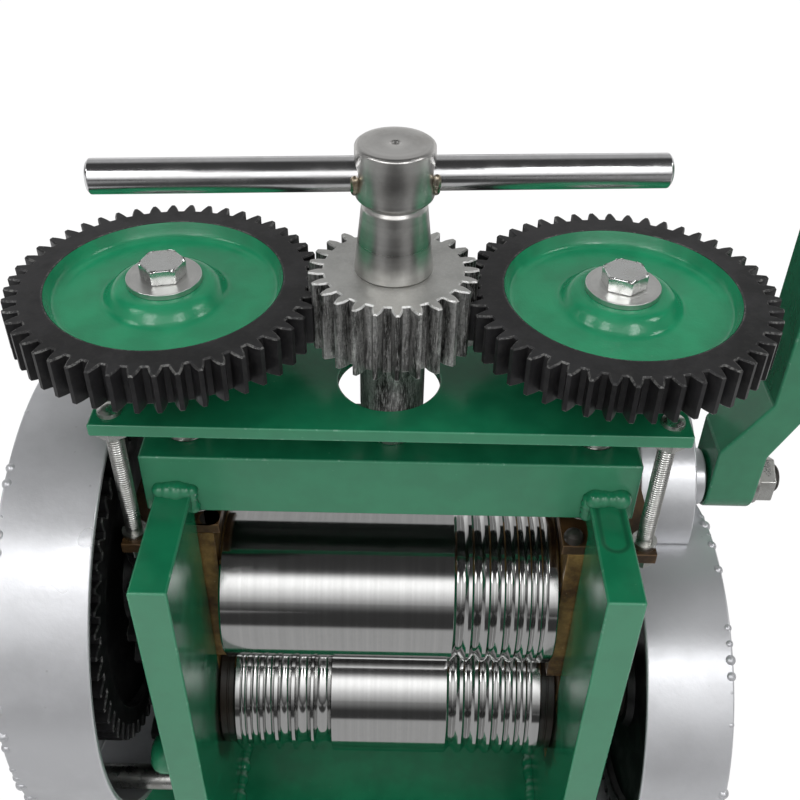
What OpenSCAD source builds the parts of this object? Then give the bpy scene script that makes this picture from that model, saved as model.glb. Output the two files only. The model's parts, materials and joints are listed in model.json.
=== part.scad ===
// Jewellers rolling mill, hand cranked, bench mounted. Millimetres, +Z up, origin under the floor plate.

/* [Rolls] */
// Diameter of both rolls
roll_diameter = 65; // [62:0.5:67]
// Length of the roll bodies
roll_length = 128; // [126:1:132]
// Gap between the closed rolls
roll_gap = 0.4; // [0.2:0.1:1.5]
// Clearance between the right cover and the floor plate, which sets the height of the rolls
cover_floor_gap = 1.5; // [1:0.1:8]
// Radius of the roll journals in the blocks
journal_radius = 12.5; // [12:0.5:13]
// Half the depth of the left bearing blocks
left_block_half = 16.5; // [15.5:0.5:18]
// Half the depth of the right bearing blocks
right_block_half = 23.5; // [23:0.5:25]

/* [Frame] */
// Thickness of each side plate
plate_thickness = 13; // [11:0.5:14]
// Depth of the side plates, front to back
plate_depth = 126; // [124:1:136]
// Thickness of the floor plate
floor_thickness = 12; // [8:0.5:13]
// Depth of the top beam, front to back
beam_depth = 32; // [28:1:33]
// Height of the top beam
beam_height = 26; // [20:1:32]
// Length of each bench lug beyond the floor plate
lug_reach = 33; // [30:1:40]
// Diameter of the bench bolt holes
bench_hole_diameter = 9; // [7:0.5:11]

/* [Lifting carriage] */
// How far the upper roll rises
lift_travel = 6; // [4:0.5:6]
// Thickness of the plate that lifts the upper roll
lift_plate_thickness = 4.6; // [4:0.2:6]
// Depth of the lift plate, front to back
lift_plate_depth = 56; // [54:1:60]
// Diameter of the lifting studs
stud_diameter = 6; // [5:0.5:6.5]
// Diameter of the pressure screws
screw_diameter = 14; // [12:0.5:16]

/* [Adjuster] */
// Length of the cross bar
bar_length = 171.7; // [150:0.1:190]
// Diameter of the cross bar
bar_diameter = 10.4; // [8:0.2:11]
// Diameter of the head that holds the cross bar
head_diameter = 24; // [22:0.5:28]
// Height of the tapered post under the head
post_height = 23.5; // [20:0.5:35]

/* [Crank] */
// Distance from the crank axis to the grip's axis
crank_length = 148; // [110:1:150]
// Width of the crank arm
arm_width = 25; // [23:0.5:28]
// Length of the turning grip
grip_length = 90; // [70:1:110]
// Diameter of the turning grip
grip_diameter = 28; // [22:1:30]

/* [Covers] */
// Outer radius of the left cover
left_cover_radius = 94; // [93:0.5:97]
// Outer radius of the right cover
right_cover_radius = 76.5; // [76.5:0.5:77.5]

/* [Hidden] */
$fn = 96;
bite = 1;
fit_gap = 0.05;
slide_gap = 0.2;

// Levels
right_cover_rise = 5.7;
left_cover_rise = 53.7;
lower_axis_height = floor_thickness + cover_floor_gap + right_cover_radius - right_cover_rise;
upper_axis_height = lower_axis_height + roll_diameter + roll_gap;
window_bottom = lower_axis_height - 26.3;
lower_block_top = lower_axis_height + roll_diameter / 2 - 0.3;
upper_block_bottom = upper_axis_height - roll_diameter / 2 + 0.8;
block_cover = 8.8;
upper_block_top = upper_axis_height + roll_diameter / 2 + block_cover;
yoke_thickness = 4.5;
yoke_top = upper_block_top + yoke_thickness;
pad_thickness = 2;
pad_radius = 10;
travel_gap = 0.5;
beam_bottom = yoke_top + lift_travel + travel_gap;
beam_top = beam_bottom + beam_height;
beam_seat_depth = 10;
plate_top = beam_bottom + beam_seat_depth;
lift_plate_rise = 19.8;
lift_bottom = beam_top + lift_plate_rise;
lift_top = lift_bottom + lift_plate_thickness;
screw_gear_rise = 48;
screw_gear_bottom = beam_top + screw_gear_rise;
screw_gear_face = 14;
screw_gear_top = screw_gear_bottom + screw_gear_face;
pinion_drop = 4.3;
pinion_bottom = screw_gear_bottom - pinion_drop;
pinion_top = screw_gear_top + lift_travel + travel_gap;
post_top = pinion_top + post_height;
neck_height = 0.7;
head_bottom = post_top + neck_height;
head_height = 17.9;
head_top = head_bottom + head_height;
bar_rise = 8.1;
bar_height = head_bottom + bar_rise;

// Widths
roll_half = roll_length / 2;
roll_radius = roll_diameter / 2;
block_inner = roll_half + 0.8;
yoke_inner = roll_half - 1.5;
plate_gap = 6.5;
plate_inner = roll_half + plate_gap;
plate_outer = plate_inner + plate_thickness;
floor_reach = 20.2;
floor_half = plate_outer + floor_reach;
lug_end = floor_half + lug_reach;
lug_inner_edge = 13;
lug_fillet = 8;
bench_hole_x = 122;
bench_hole_y = 38;
beam_reach = 4.2;
beam_half = plate_outer + beam_reach;
plug_y = -53;
plug_height = lower_axis_height + 19.7;
plug_radius = 8;
plug_shank_radius = 4;
floor_bead = 4;
beam_bead = [6, 7];

// Screws and lifting studs
gear_module = 2;
screw_teeth = 48;
pinion_teeth = 25;
screw_x = gear_module * (screw_teeth + pinion_teeth) / 2;
screw_radius = screw_diameter / 2;
stud_x = 92;
stud_y = 21;
stud_radius = stud_diameter / 2;
yoke_end = 96;
lift_half = 98;
lift_hole_radius = 17.5;

// Roll gears
coupling_teeth = 13;
coupling_module = roll_diameter / coupling_teeth;
coupling_face = [-98, -86];
wheel_module = 2.5;
wheel_teeth = 50;
crank_teeth = 26;
upper_wheel_face = [-114, -100];
drive_wheel_face = [103, 117];
crank_pinion_face = [103, 116.5];
seat_radius = journal_radius - 0.5;
upper_journal_end = -116;
lower_journal_end = -99;
drive_journal_end = 119;

// Crank
drive_distance = wheel_module * (wheel_teeth + crank_teeth) / 2;
drive_lean = 27.2;
crank_y = drive_distance * sin(drive_lean);
crank_height = lower_axis_height + drive_distance * cos(drive_lean);
shaft_radius = 8;
bush_radius = 11;
arm_inner = 132;
arm_outer = 152;
arm_inner_high = 148;
arm_outer_high = 161;
grip_height = crank_height + crank_length;
grip_start = arm_outer_high + 1;
grip_pin_radius = 5;

// Covers
cover_wall = 2.5;
left_cover = [12, lower_axis_height + left_cover_rise];
left_cover_face = [-131.5, -98.5];
left_stud_insets = [18.2, 9, 9];
left_stud_angles = [53.6, -60, 225];
right_cover = [6, lower_axis_height + right_cover_rise];
right_cover_face = [97.3, 130];
small_housing_radius = 38;
small_housing_wall = 2;
small_housing_end = 119.5;
boss_end = 131;
boss_radius = 12;
cover_bush_radius = 10;
right_post_reach = right_cover_radius + 6.5;
right_post_points = [[0.6, -0.8], [-0.6, -0.8]];

// V-grooves and half-round grooves of the rolls: distance from the left end, depth
upper_grooves = [[95, 5.2], [103.6, 4.2], [110.6, 3.4], [116.2, 2.6], [120.6, 2], [124, 1.5], [126.8, 1.1]];
lower_rounds = [[4.2, 1.6], [9, 2], [14.6, 2.4], [21.2, 2.9], [28.8, 3.4], [37, 3.8]];

// Shapes

// A box between two corners
module box_between(low, high) {
    translate(low) cube(high - low);
}

// A round bar along X
module bar_x(x0, x1, y, z, radius) {
    translate([x0, y, z]) rotate([0, 90, 0]) cylinder(h = x1 - x0, r = radius);
}

// A round bar along Z
module bar_z(x, y, z0, z1, radius) {
    translate([x, y, z0]) cylinder(h = z1 - z0, r = radius);
}

// A hexagon along Z, across flats, with two flats facing along X
module hex_z(x, y, z0, z1, flats) {
    translate([x, y, z0]) rotate([0, 0, 30]) cylinder(h = z1 - z0, r = flats / sqrt(3), $fn = 6);
}

// A hexagon along X, across flats
module hex_x(x0, x1, y, z, flats) {
    translate([x0, y, z]) rotate([0, 90, 0]) cylinder(h = x1 - x0, r = flats / sqrt(3), $fn = 6);
}

// Turned profile about the X axis: points are [x, radius]
module turned_x(y, z, points) {
    translate([0, y, z]) rotate([0, 90, 0]) rotate_extrude() polygon([for (p = points) [p[1], p[0]]]);
}

// A flat profile in the YZ plane, thickened along X
module slab_x(x0, x1, y, z) {
    translate([x0, y, z]) rotate([90, 0, 90]) linear_extrude(height = x1 - x0) children();
}

// Involute tooth profile
pressure_angle = 20;
function involute(angle) = tan(angle) * 180 / PI - angle;
function flank(radius, teeth, size, lash) =
    let (pitch = teeth * size / 2, base = pitch * cos(pressure_angle))
    90 / teeth - lash / 2 / pitch * 180 / PI + involute(pressure_angle)
    - (radius <= base ? 0 : involute(acos(base / radius)));
function polar(radius, angle) = [radius * cos(angle), radius * sin(angle)];
function gear_points(teeth, size, lash, tip) =
    let (
        pitch = teeth * size / 2,
        root = pitch - 1.25 * size,
        low = pitch - 0.6 * size,
        outer = pitch + tip * size,
        radii = [root, low, pitch, outer]
    )
    [for (i = [0 : teeth - 1]) each concat(
        [for (r = radii) polar(r, i * 360 / teeth - flank(r, teeth, size, lash))],
        [for (k = [3 : -1 : 0]) polar(radii[k], i * 360 / teeth + flank(radii[k], teeth, size, lash))]
    )];

// Frame

module bench_lug(side, end) {
    edge = plate_depth / 2;
    low_x = side > 0 ? floor_half - bite : -lug_end;
    high_x = side > 0 ? lug_end : -floor_half + bite;
    low_y = end > 0 ? lug_inner_edge : -edge;
    high_y = end > 0 ? edge : -lug_inner_edge;
    difference() {
        union() {
            box_between([low_x, low_y, 0], [high_x, high_y, floor_thickness]);
            box_between(
                [side > 0 ? floor_half - bite : -floor_half - lug_fillet,
                    end > 0 ? lug_inner_edge - lug_fillet : -lug_inner_edge - bite, 0],
                [side > 0 ? floor_half + lug_fillet : -floor_half + bite,
                    end > 0 ? lug_inner_edge + bite : -lug_inner_edge + lug_fillet, floor_thickness]);
        }
        bar_z(side * (floor_half + lug_fillet), end * (lug_inner_edge - lug_fillet), -bite,
            floor_thickness + bite, lug_fillet);
        bar_z(side * bench_hole_x, end * bench_hole_y, -bite, floor_thickness + bite,
            bench_hole_diameter / 2);
    }
}

module base_plate() {
    color([0.05, 0.3, 0.19]) union() {
        box_between([-floor_half, -plate_depth / 2, 0], [floor_half, plate_depth / 2, floor_thickness]);
        for (side = [-1, 1]) for (end = [-1, 1]) bench_lug(side, end);
    }
}

module side_plate(low_x, block_half) {
    high_x = low_x + plate_thickness;
    window_half = block_half + slide_gap;
    difference() {
        box_between([low_x, -plate_depth / 2, floor_thickness], [high_x, plate_depth / 2, plate_top]);
        box_between([low_x - bite, -window_half, window_bottom], [high_x + bite, window_half, beam_bottom]);
        box_between([low_x - bite, -beam_depth / 2, beam_bottom - bite],
            [high_x + bite, beam_depth / 2, plate_top + bite]);
    }
}

module side_plate_left() {
    color([0.05, 0.3, 0.19]) difference() {
        side_plate(-plate_outer, left_block_half);
        bar_x(-plate_outer - bite, -plate_outer + 8, plug_y, plug_height, plug_shank_radius);
        for (i = left_studs)
            bar_x(-plate_outer - bite, -plate_outer + cover_stud_hole + 1, left_stud_y(i), left_stud_z(i),
                cover_stud_radius);
    }
}

module side_plate_right() {
    color([0.05, 0.3, 0.19]) difference() {
        side_plate(plate_inner, right_block_half);
        bar_x(plate_inner - bite, plate_outer + bite, crank_y, crank_height, bush_radius);
        for (p = right_post_points)
            bar_x(plate_outer - 8, plate_outer + bite, right_post_y(p), right_post_z(p), cover_stud_radius);
        translate([plate_middle, plate_depth / 2 + bite, tab_hole_height])
            rotate([90, 0, 0]) cylinder(h = 11, r = cover_screw_radius);
    }
}

module top_beam() {
    color([0.05, 0.3, 0.19]) difference() {
        box_between([-beam_half, -beam_depth / 2, beam_bottom], [beam_half, beam_depth / 2, beam_top]);
        for (side = [-1, 1])
            bar_z(side * screw_x, 0, beam_bottom - bite, beam_top + bite, screw_radius + fit_gap);
        bar_z(0, 0, beam_top - post_seat, beam_top + bite, post_radius);
    }
}

// A three-cornered bead along X
module bead_x(x0, x1, y, z, size_y, size_z) {
    slab_x(x0, x1, y, z) polygon([[0, 0], [size_y, 0], [0, size_z]]);
}

// A three-cornered bead along Y
module bead_y(y0, y1, x, z, size_x, size_z) {
    translate([x, y1, z]) rotate([90, 0, 0]) linear_extrude(height = y1 - y0)
        polygon([[0, 0], [size_x, 0], [0, size_z]]);
}

module frame_welds() {
    color([0.05, 0.3, 0.19]) for (side = [-1, 1]) {
        low = side > 0 ? plate_inner : -plate_outer;
        reach = plate_depth / 2 - floor_bead;
        for (end = [-1, 1])
            bead_x(low, low + plate_thickness, end * beam_depth / 2, plate_top,
                end * beam_bead[0], beam_bead[1]);
        bead_y(-reach, reach, side * plate_inner, floor_thickness, -side * floor_bead, floor_bead);
        bead_y(-reach, reach, side * plate_outer, floor_thickness, side * floor_bead, floor_bead);
    }
}

module plate_plug() {
    color([0.04, 0.24, 0.15]) turned_x(plug_y, plug_height, [
        [-plate_outer - 8, 0], [-plate_outer - 8, plug_radius - 3], [-plate_outer - 6.5, plug_radius - 1],
        [-plate_outer - 4, plug_radius], [-plate_outer, plug_radius], [-plate_outer, plug_shank_radius],
        [-plate_outer + 7, plug_shank_radius], [-plate_outer + 7, 0]]);
}

// Bearings

function block_half(side) = side > 0 ? right_block_half : left_block_half;

module bearing_block(side, inner, low, high, axis) {
    difference() {
        box_between([side > 0 ? inner : -plate_outer, -block_half(side), low],
            [side > 0 ? plate_outer : -inner, block_half(side), high]);
        bar_x(side > 0 ? inner - bite : -plate_outer - bite,
            side > 0 ? plate_outer + bite : -inner + bite, 0, axis, journal_radius + fit_gap);
    }
}

module lower_block_cut(side) {
    bearing_block(side, plate_inner, window_bottom, lower_block_top, lower_axis_height);
}

// Bolts that hold each upper block to its yoke: domed heads on the right, sunk heads on the left
bolt_head_radius = 3.6;
bolt_radius = 1.5;
bolt_depth = 9;
bolt_sink = 2.1;
bolt_bottom = upper_block_top - bolt_depth;
bolt_x = plate_inner - bolt_head_radius - slide_gap;
function bolt_y(side) = block_half(side) - bolt_head_radius - 0.1;

module upper_block_cut(side) {
    difference() {
        bearing_block(side, block_inner, upper_block_bottom, upper_block_top, upper_axis_height);
        for (end = [-1, 1])
            bar_z(side * bolt_x, end * bolt_y(side), bolt_bottom, upper_block_top + bite, bolt_radius);
    }
}

module lower_bearing_left() color([0.55, 0.4, 0.2]) lower_block_cut(-1);
module lower_bearing_right() color([0.55, 0.4, 0.2]) lower_block_cut(1);
module upper_bearing_left() color([0.55, 0.4, 0.2]) upper_block_cut(-1);
module upper_bearing_right() color([0.55, 0.4, 0.2]) upper_block_cut(1);

module bearing_bolts() {
    color([0.12, 0.11, 0.1]) for (end = [-1, 1]) {
        translate([bolt_x, end * bolt_y(1), 0]) rotate_extrude() polygon([
            [0, bolt_bottom], [bolt_radius, bolt_bottom], [bolt_radius, yoke_top],
            [bolt_head_radius, yoke_top], [bolt_head_radius, yoke_top + 1.4],
            [bolt_head_radius - 0.6, yoke_top + 3], [bolt_head_radius - 2, yoke_top + 4],
            [0, yoke_top + 4.2]]);
        translate([-bolt_x, end * bolt_y(-1), 0]) rotate_extrude() polygon([
            [0, bolt_bottom], [bolt_radius, bolt_bottom], [bolt_radius, yoke_top - bolt_sink],
            [bolt_head_radius, yoke_top], [0, yoke_top]]);
    }
}

module thrust_pads() {
    color([0.6, 0.6, 0.6]) for (side = [-1, 1])
        bar_z(side * screw_x, 0, yoke_top - pad_thickness, yoke_top, pad_radius);
}

// Lifting carriage

yoke_ear_half = 27;
yoke_ear_gap = 0.8;

module yoke(side) {
    outside = plate_outer + yoke_ear_gap;
    difference() {
        union() {
            box_between([side > 0 ? yoke_inner : -yoke_end, -block_half(side), upper_block_top],
                [side > 0 ? yoke_end : -yoke_inner, block_half(side), yoke_top]);
            box_between([side > 0 ? outside : -yoke_end, -yoke_ear_half, upper_block_top],
                [side > 0 ? yoke_end : -outside, yoke_ear_half, yoke_top]);
        }
        bar_z(side * screw_x, 0, yoke_top - pad_thickness, yoke_top + bite, pad_radius);
        for (end = [-1, 1]) {
            bar_z(side * stud_x, end * stud_y, upper_block_top - bite, yoke_top + bite, stud_radius);
            bar_z(side * bolt_x, end * bolt_y(side), upper_block_top - bite, yoke_top + bite, bolt_radius);
        }
        if (side < 0) for (end = [-1, 1]) translate([-bolt_x, end * bolt_y(-1), 0]) rotate_extrude()
            polygon([[0, yoke_top - bolt_sink], [bolt_radius, yoke_top - bolt_sink],
                [bolt_head_radius, yoke_top], [bolt_head_radius, yoke_top + bite], [0, yoke_top + bite]]);
    }
}

module yoke_left() color([0.3, 0.3, 0.3]) yoke(-1);
module yoke_right() color([0.3, 0.3, 0.3]) yoke(1);

module lift_plate() {
    color([0.05, 0.3, 0.19]) difference() {
        box_between([-lift_half, -lift_plate_depth / 2, lift_bottom],
            [lift_half, lift_plate_depth / 2, lift_top]);
        bar_z(-1, 0, lift_bottom - bite, lift_top + bite, lift_hole_radius);
        for (side = [-1, 1]) {
            bar_z(side * screw_x, 0, lift_bottom - bite, lift_top + bite, screw_radius + fit_gap);
            for (end = [-1, 1])
                bar_z(side * stud_x, end * stud_y, lift_bottom - bite, lift_top + bite, stud_radius);
        }
    }
}

stud_nut_flats = 10;
stud_nut_height = 4;
stud_collar = 1.5;

module lift_studs() {
    color([0.6, 0.6, 0.58]) for (side = [-1, 1]) for (end = [-1, 1])
        translate([side * stud_x, end * stud_y, 0]) rotate_extrude() polygon([
            [0, upper_block_top - 4], [stud_radius, upper_block_top - 4], [stud_radius, yoke_top],
            [stud_radius + stud_collar, yoke_top], [stud_radius + stud_collar, yoke_top + 2],
            [stud_radius, yoke_top + 2],
            [stud_radius, lift_top], [stud_radius + 1.2, lift_top], [stud_radius + 1, lift_top + 1.4],
            [0, lift_top + 2.2]]);
}

module stud_nuts() {
    color([0.55, 0.55, 0.53]) for (side = [-1, 1]) for (end = [-1, 1]) difference() {
        union() {
            hex_z(side * stud_x, end * stud_y, upper_block_top - 3, upper_block_top, stud_nut_flats);
            hex_z(side * stud_x, end * stud_y, lift_bottom - stud_nut_height, lift_bottom, stud_nut_flats);
        }
        bar_z(side * stud_x, end * stud_y, upper_block_top - 4 - bite, lift_bottom + bite, stud_radius);
    }
}

// Pressure screws: thread ridges shown as rings
thread_pitch = 2;
thread_depth = 0.9;
thread_low = beam_bottom - 5;
thread_rings = floor((lift_bottom - 4 - thread_low) / thread_pitch);

module pressure_screw(side) {
    translate([side * screw_x, 0, 0]) difference() {
        rotate_extrude() polygon(concat(
            [[0, yoke_top], [screw_radius - 1.5, yoke_top], [screw_radius - 1, yoke_top + 1]],
            [for (i = [0 : thread_rings - 1]) each [
                [screw_radius, thread_low + i * thread_pitch],
                [screw_radius, thread_low + i * thread_pitch + 0.5],
                [screw_radius - thread_depth, thread_low + (i + 0.5) * thread_pitch],
                [screw_radius - thread_depth, thread_low + (i + 0.5) * thread_pitch + 0.5]]],
            [[screw_radius, thread_low + thread_rings * thread_pitch], [screw_radius, screw_gear_top],
                [0, screw_gear_top]]));
        bar_z(0, 0, screw_gear_top - gear_bolt_length - 2, screw_gear_top + bite, gear_bolt_radius);
    }
}

module pressure_screw_left() color([0.5, 0.5, 0.5]) pressure_screw(-1);
module pressure_screw_right() color([0.5, 0.5, 0.5]) pressure_screw(1);

ring_thickness = 2.4;
ring_width = 4;

module screw_ring(side) {
    difference() {
        bar_z(side * screw_x, 0, lift_bottom - ring_thickness, lift_bottom, screw_radius + ring_width);
        bar_z(side * screw_x, 0, lift_bottom - ring_thickness - bite, lift_bottom + bite, screw_radius);
    }
}

module screw_ring_left() color([0.2, 0.2, 0.2]) screw_ring(-1);
module screw_ring_right() color([0.2, 0.2, 0.2]) screw_ring(1);

sleeve_width = 8;

module screw_sleeve(side) {
    difference() {
        bar_z(side * screw_x, 0, lift_top, screw_gear_bottom, screw_radius + sleeve_width);
        bar_z(side * screw_x, 0, lift_top - bite, screw_gear_bottom + bite, screw_radius);
    }
}

module screw_sleeve_left() color([0.15, 0.15, 0.15]) screw_sleeve(-1);
module screw_sleeve_right() color([0.15, 0.15, 0.15]) screw_sleeve(1);

washer_height = 2;
washer_radius = 12;
gear_bolt_radius = 4;
gear_bolt_length = 18;
gear_bolt_flats = 13;
gear_bolt_head = 5.3;
gear_rim_inner = 37.6;
gear_hub_radius = 19;
web_recess = 4.5;

module screw_gear(side, turn) {
    translate([side * screw_x, 0, screw_gear_bottom]) difference() {
        rotate([0, 0, turn]) linear_extrude(height = screw_gear_face)
            polygon(gear_points(screw_teeth, gear_module, 0.15, 1));
        for (low = [-bite, screw_gear_face - web_recess]) translate([0, 0, low]) difference() {
            cylinder(h = web_recess + bite, r = gear_rim_inner);
            translate([0, 0, -bite]) cylinder(h = web_recess + 3 * bite, r = gear_hub_radius);
        }
        translate([0, 0, -bite]) cylinder(h = screw_gear_face + 2 * bite, r = screw_radius);
    }
}

module screw_gear_left() color([0.1, 0.1, 0.1]) screw_gear(-1, 0);
module screw_gear_right() color([0.1, 0.1, 0.1]) screw_gear(1, 180 + 180 / screw_teeth);

module gear_washer(side) {
    difference() {
        bar_z(side * screw_x, 0, screw_gear_top, screw_gear_top + washer_height, washer_radius);
        bar_z(side * screw_x, 0, screw_gear_top - bite, screw_gear_top + washer_height + bite,
            gear_bolt_radius);
    }
}

module gear_washer_left() color([0.7, 0.7, 0.7]) gear_washer(-1);
module gear_washer_right() color([0.7, 0.7, 0.7]) gear_washer(1);

module gear_bolt(side, turn) {
    head_low = screw_gear_top + washer_height;
    translate([side * screw_x, 0, 0]) rotate([0, 0, turn]) union() {
        intersection() {
            hex_z(0, 0, head_low, head_low + gear_bolt_head, gear_bolt_flats);
            translate([0, 0, head_low - bite]) cylinder(h = gear_bolt_head + bite,
                r1 = gear_bolt_flats / 2 + 7.3, r2 = gear_bolt_flats / 2 + 0.2);
        }
        bar_z(0, 0, screw_gear_top - gear_bolt_length, head_low + bite, gear_bolt_radius);
    }
}

module gear_bolt_left() color([0.7, 0.7, 0.7]) gear_bolt(-1, -18);
module gear_bolt_right() color([0.7, 0.7, 0.7]) gear_bolt(1, 8);

// Adjuster

post_radius = 5;
post_seat = 6;
post_shoulder = beam_top + 14;
post_shoulder_radius = 7.5;
post_end = pinion_top - 15;
pinion_hub_radius = 11;
spigot_radius = 6;
spigot_depth = 8;

module pinion_post() {
    color([0.45, 0.45, 0.45]) rotate_extrude() polygon([
        [0, beam_top - post_seat], [post_radius, beam_top - post_seat], [post_radius, beam_top],
        [post_shoulder_radius, beam_top], [post_shoulder_radius, post_shoulder],
        [post_radius, post_shoulder], [post_radius, post_end - 1], [post_radius - 1, post_end],
        [0, post_end]]);
}

module adjusting_pinion() {
    color([0.6, 0.6, 0.58]) difference() {
        union() {
            bar_z(0, 0, post_shoulder, pinion_bottom + bite, pinion_hub_radius);
            translate([0, 0, pinion_bottom]) linear_extrude(height = pinion_top - pinion_bottom)
                polygon(gear_points(pinion_teeth, gear_module, 0.15, 1));
        }
        bar_z(0, 0, post_shoulder - bite, post_end + 3, post_radius + fit_gap);
        bar_z(0, 0, pinion_top - spigot_depth, pinion_top + bite, spigot_radius);
    }
}

bar_turn = 3.8;
bar_left = -89.4;

module t_post() {
    head_radius = head_diameter / 2;
    color([0.8, 0.8, 0.8]) difference() {
        rotate_extrude() polygon([
            [0, pinion_top - spigot_depth], [spigot_radius, pinion_top - spigot_depth],
            [spigot_radius, pinion_top], [head_radius + 0.5, pinion_top], [head_radius - 2, post_top],
            [head_radius - 1.2, head_bottom], [head_radius, head_bottom + 1.6],
            [head_radius, head_top - 0.6], [head_radius - 0.6, head_top], [0, head_top]]);
        rotate([0, 0, bar_turn]) bar_x(-20, 20, 0, bar_height, bar_diameter / 2);
    }
}

module t_bar() {
    half = bar_diameter / 2;
    color([0.8, 0.8, 0.8]) rotate([0, 0, bar_turn]) turned_x(0, bar_height, [
        [bar_left, 0], [bar_left, half - 0.8], [bar_left + 0.8, half], [bar_left + bar_length - 0.8, half],
        [bar_left + bar_length, half - 0.8], [bar_left + bar_length, 0]]);
}

// Rolls

// Cut a V-groove: two cones, tip towards the axis
module vee(along, depth, width) {
    turned_x(0, 0, [[along - width, roll_radius + width - depth], [along, roll_radius - depth],
        [along + width, roll_radius + width - depth]]);
}

// Outline of a roll with its journals, up to the right journal's end
journal_end = plate_outer + 0.7;
roll_points = [
    [-journal_end, seat_radius], [-journal_end, journal_radius], [-roll_half, journal_radius],
    [-roll_half, roll_radius - 1], [-roll_half + 1, roll_radius], [roll_half - 1, roll_radius],
    [roll_half, roll_radius - 1], [roll_half, journal_radius], [journal_end, journal_radius]];

module upper_roll() {
    color([0.72, 0.73, 0.74]) translate([0, 0, upper_axis_height]) difference() {
        turned_x(0, 0, concat([
            [upper_journal_end, 0], [upper_journal_end, seat_radius - 1],
            [upper_journal_end + 1, seat_radius]],
            roll_points, [[journal_end, 0]]));
        for (g = upper_grooves) vee(g[0] - roll_half, g[1], g[1] + 1);
    }
}

module lower_roll() {
    color([0.72, 0.73, 0.74]) translate([0, 0, lower_axis_height]) difference() {
        turned_x(0, 0, concat([
            [lower_journal_end, 0], [lower_journal_end, seat_radius - 0.5],
            [lower_journal_end + 0.5, seat_radius]],
            roll_points, [[journal_end, seat_radius], [drive_journal_end - 1, seat_radius],
            [drive_journal_end, seat_radius - 1], [drive_journal_end, 0]]));
        for (g = upper_grooves) vee(g[0] - roll_half, g[1], g[1] + 1);
        for (g = lower_rounds) rotate([0, 90, 0]) rotate_extrude()
            translate([roll_radius, g[0] - roll_half]) circle(r = g[1]);
    }
}

// Wide black collars between the lower roll and the plates
collar_radius = roll_radius - 2.5;
collar_end = plate_inner - 0.3;

module roll_collars() {
    color([0.06, 0.06, 0.06]) for (start = [roll_half, -collar_end]) difference() {
        end = start + collar_end - roll_half;
        bar_x(start, end, 0, lower_axis_height, collar_radius);
        bar_x(start - bite, end + bite, 0, lower_axis_height, journal_radius);
    }
}

// A toothed wheel on a shaft along X
module wheel_x(face, y, z, teeth, size, turn, bore, lash, tip) {
    slab_x(face[0], face[1], y, z) difference() {
        rotate(turn) polygon(gear_points(teeth, size, lash, tip));
        circle(r = bore);
    }
}

module upper_coupling_gear() {
    color([0.12, 0.12, 0.12]) wheel_x(coupling_face, 0, upper_axis_height, coupling_teeth, coupling_module,
        270 + 180 / coupling_teeth, seat_radius, 0.5, 0.86);
}

module lower_coupling_gear() {
    color([0.12, 0.12, 0.12]) wheel_x(coupling_face, 0, lower_axis_height, coupling_teeth, coupling_module,
        90, seat_radius, 0.5, 0.86);
}

module upper_wheel() {
    color([0.1, 0.1, 0.1]) wheel_x(upper_wheel_face, 0, upper_axis_height, wheel_teeth, wheel_module,
        0, seat_radius, 0.15, 1);
}

module drive_wheel() {
    color([0.1, 0.1, 0.1]) wheel_x(drive_wheel_face, 0, lower_axis_height, wheel_teeth, wheel_module,
        90 - drive_lean + 180 / wheel_teeth, seat_radius, 0.15, 1);
}

module crank_pinion() {
    color([0.1, 0.1, 0.1]) wheel_x(crank_pinion_face, crank_y, crank_height, crank_teeth, wheel_module,
        270 - drive_lean, shaft_radius, 0.15, 1);
}

end_ring_radius = seat_radius + 4;

module upper_end_ring() {
    color([0.2, 0.2, 0.2]) difference() {
        bar_x(upper_wheel_face[0] - 2, upper_wheel_face[0], 0, upper_axis_height, end_ring_radius);
        bar_x(upper_wheel_face[0] - 3, upper_wheel_face[0] + bite, 0, upper_axis_height, seat_radius);
    }
}

module lower_end_rings() {
    color([0.2, 0.2, 0.2]) {
        difference() {
            bar_x(coupling_face[0] - 1, coupling_face[0], 0, lower_axis_height, end_ring_radius);
            bar_x(coupling_face[0] - 2, coupling_face[0] + bite, 0, lower_axis_height, seat_radius);
        }
        difference() {
            bar_x(drive_wheel_face[1], drive_wheel_face[1] + 2, 0, lower_axis_height, end_ring_radius);
            bar_x(drive_wheel_face[1] - bite, drive_wheel_face[1] + 3, 0, lower_axis_height, seat_radius);
        }
        difference() {
            bar_x(drive_wheel_face[0] - 4, drive_wheel_face[0], 0, lower_axis_height, end_ring_radius);
            bar_x(drive_wheel_face[0] - 5, drive_wheel_face[0] + bite, 0, lower_axis_height, seat_radius);
        }
    }
}

// Crank

shaft_start = plate_inner - 4;
shaft_end = arm_outer + 12;
shaft_end_radius = 6;

module crank_shaft() {
    color([0.5, 0.5, 0.5]) turned_x(crank_y, crank_height, [
        [shaft_start, 0], [shaft_start, shaft_radius - 1], [shaft_start + 1, shaft_radius],
        [arm_outer, shaft_radius], [arm_outer, shaft_end_radius], [shaft_end - 1, shaft_end_radius],
        [shaft_end, shaft_end_radius - 1], [shaft_end, 0]]);
}

module shaft_ring() {
    color([0.2, 0.2, 0.2]) difference() {
        bar_x(plate_inner - 2.6, plate_inner - 0.1, crank_y, crank_height, 11);
        bar_x(plate_inner - 3.6, plate_inner + bite, crank_y, crank_height, shaft_radius);
    }
}

module plate_bush() {
    color([0.55, 0.4, 0.2]) difference() {
        bar_x(plate_inner, plate_outer + 2, crank_y, crank_height, bush_radius);
        bar_x(plate_inner - bite, plate_outer + 3, crank_y, crank_height, shaft_radius + fit_gap);
    }
}

module cover_bush() {
    color([0.55, 0.4, 0.2]) difference() {
        bar_x(small_housing_end - 2, boss_end, crank_y, crank_height, cover_bush_radius);
        bar_x(small_housing_end - 3, boss_end + bite, crank_y, crank_height, shaft_radius + fit_gap);
    }
}

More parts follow.
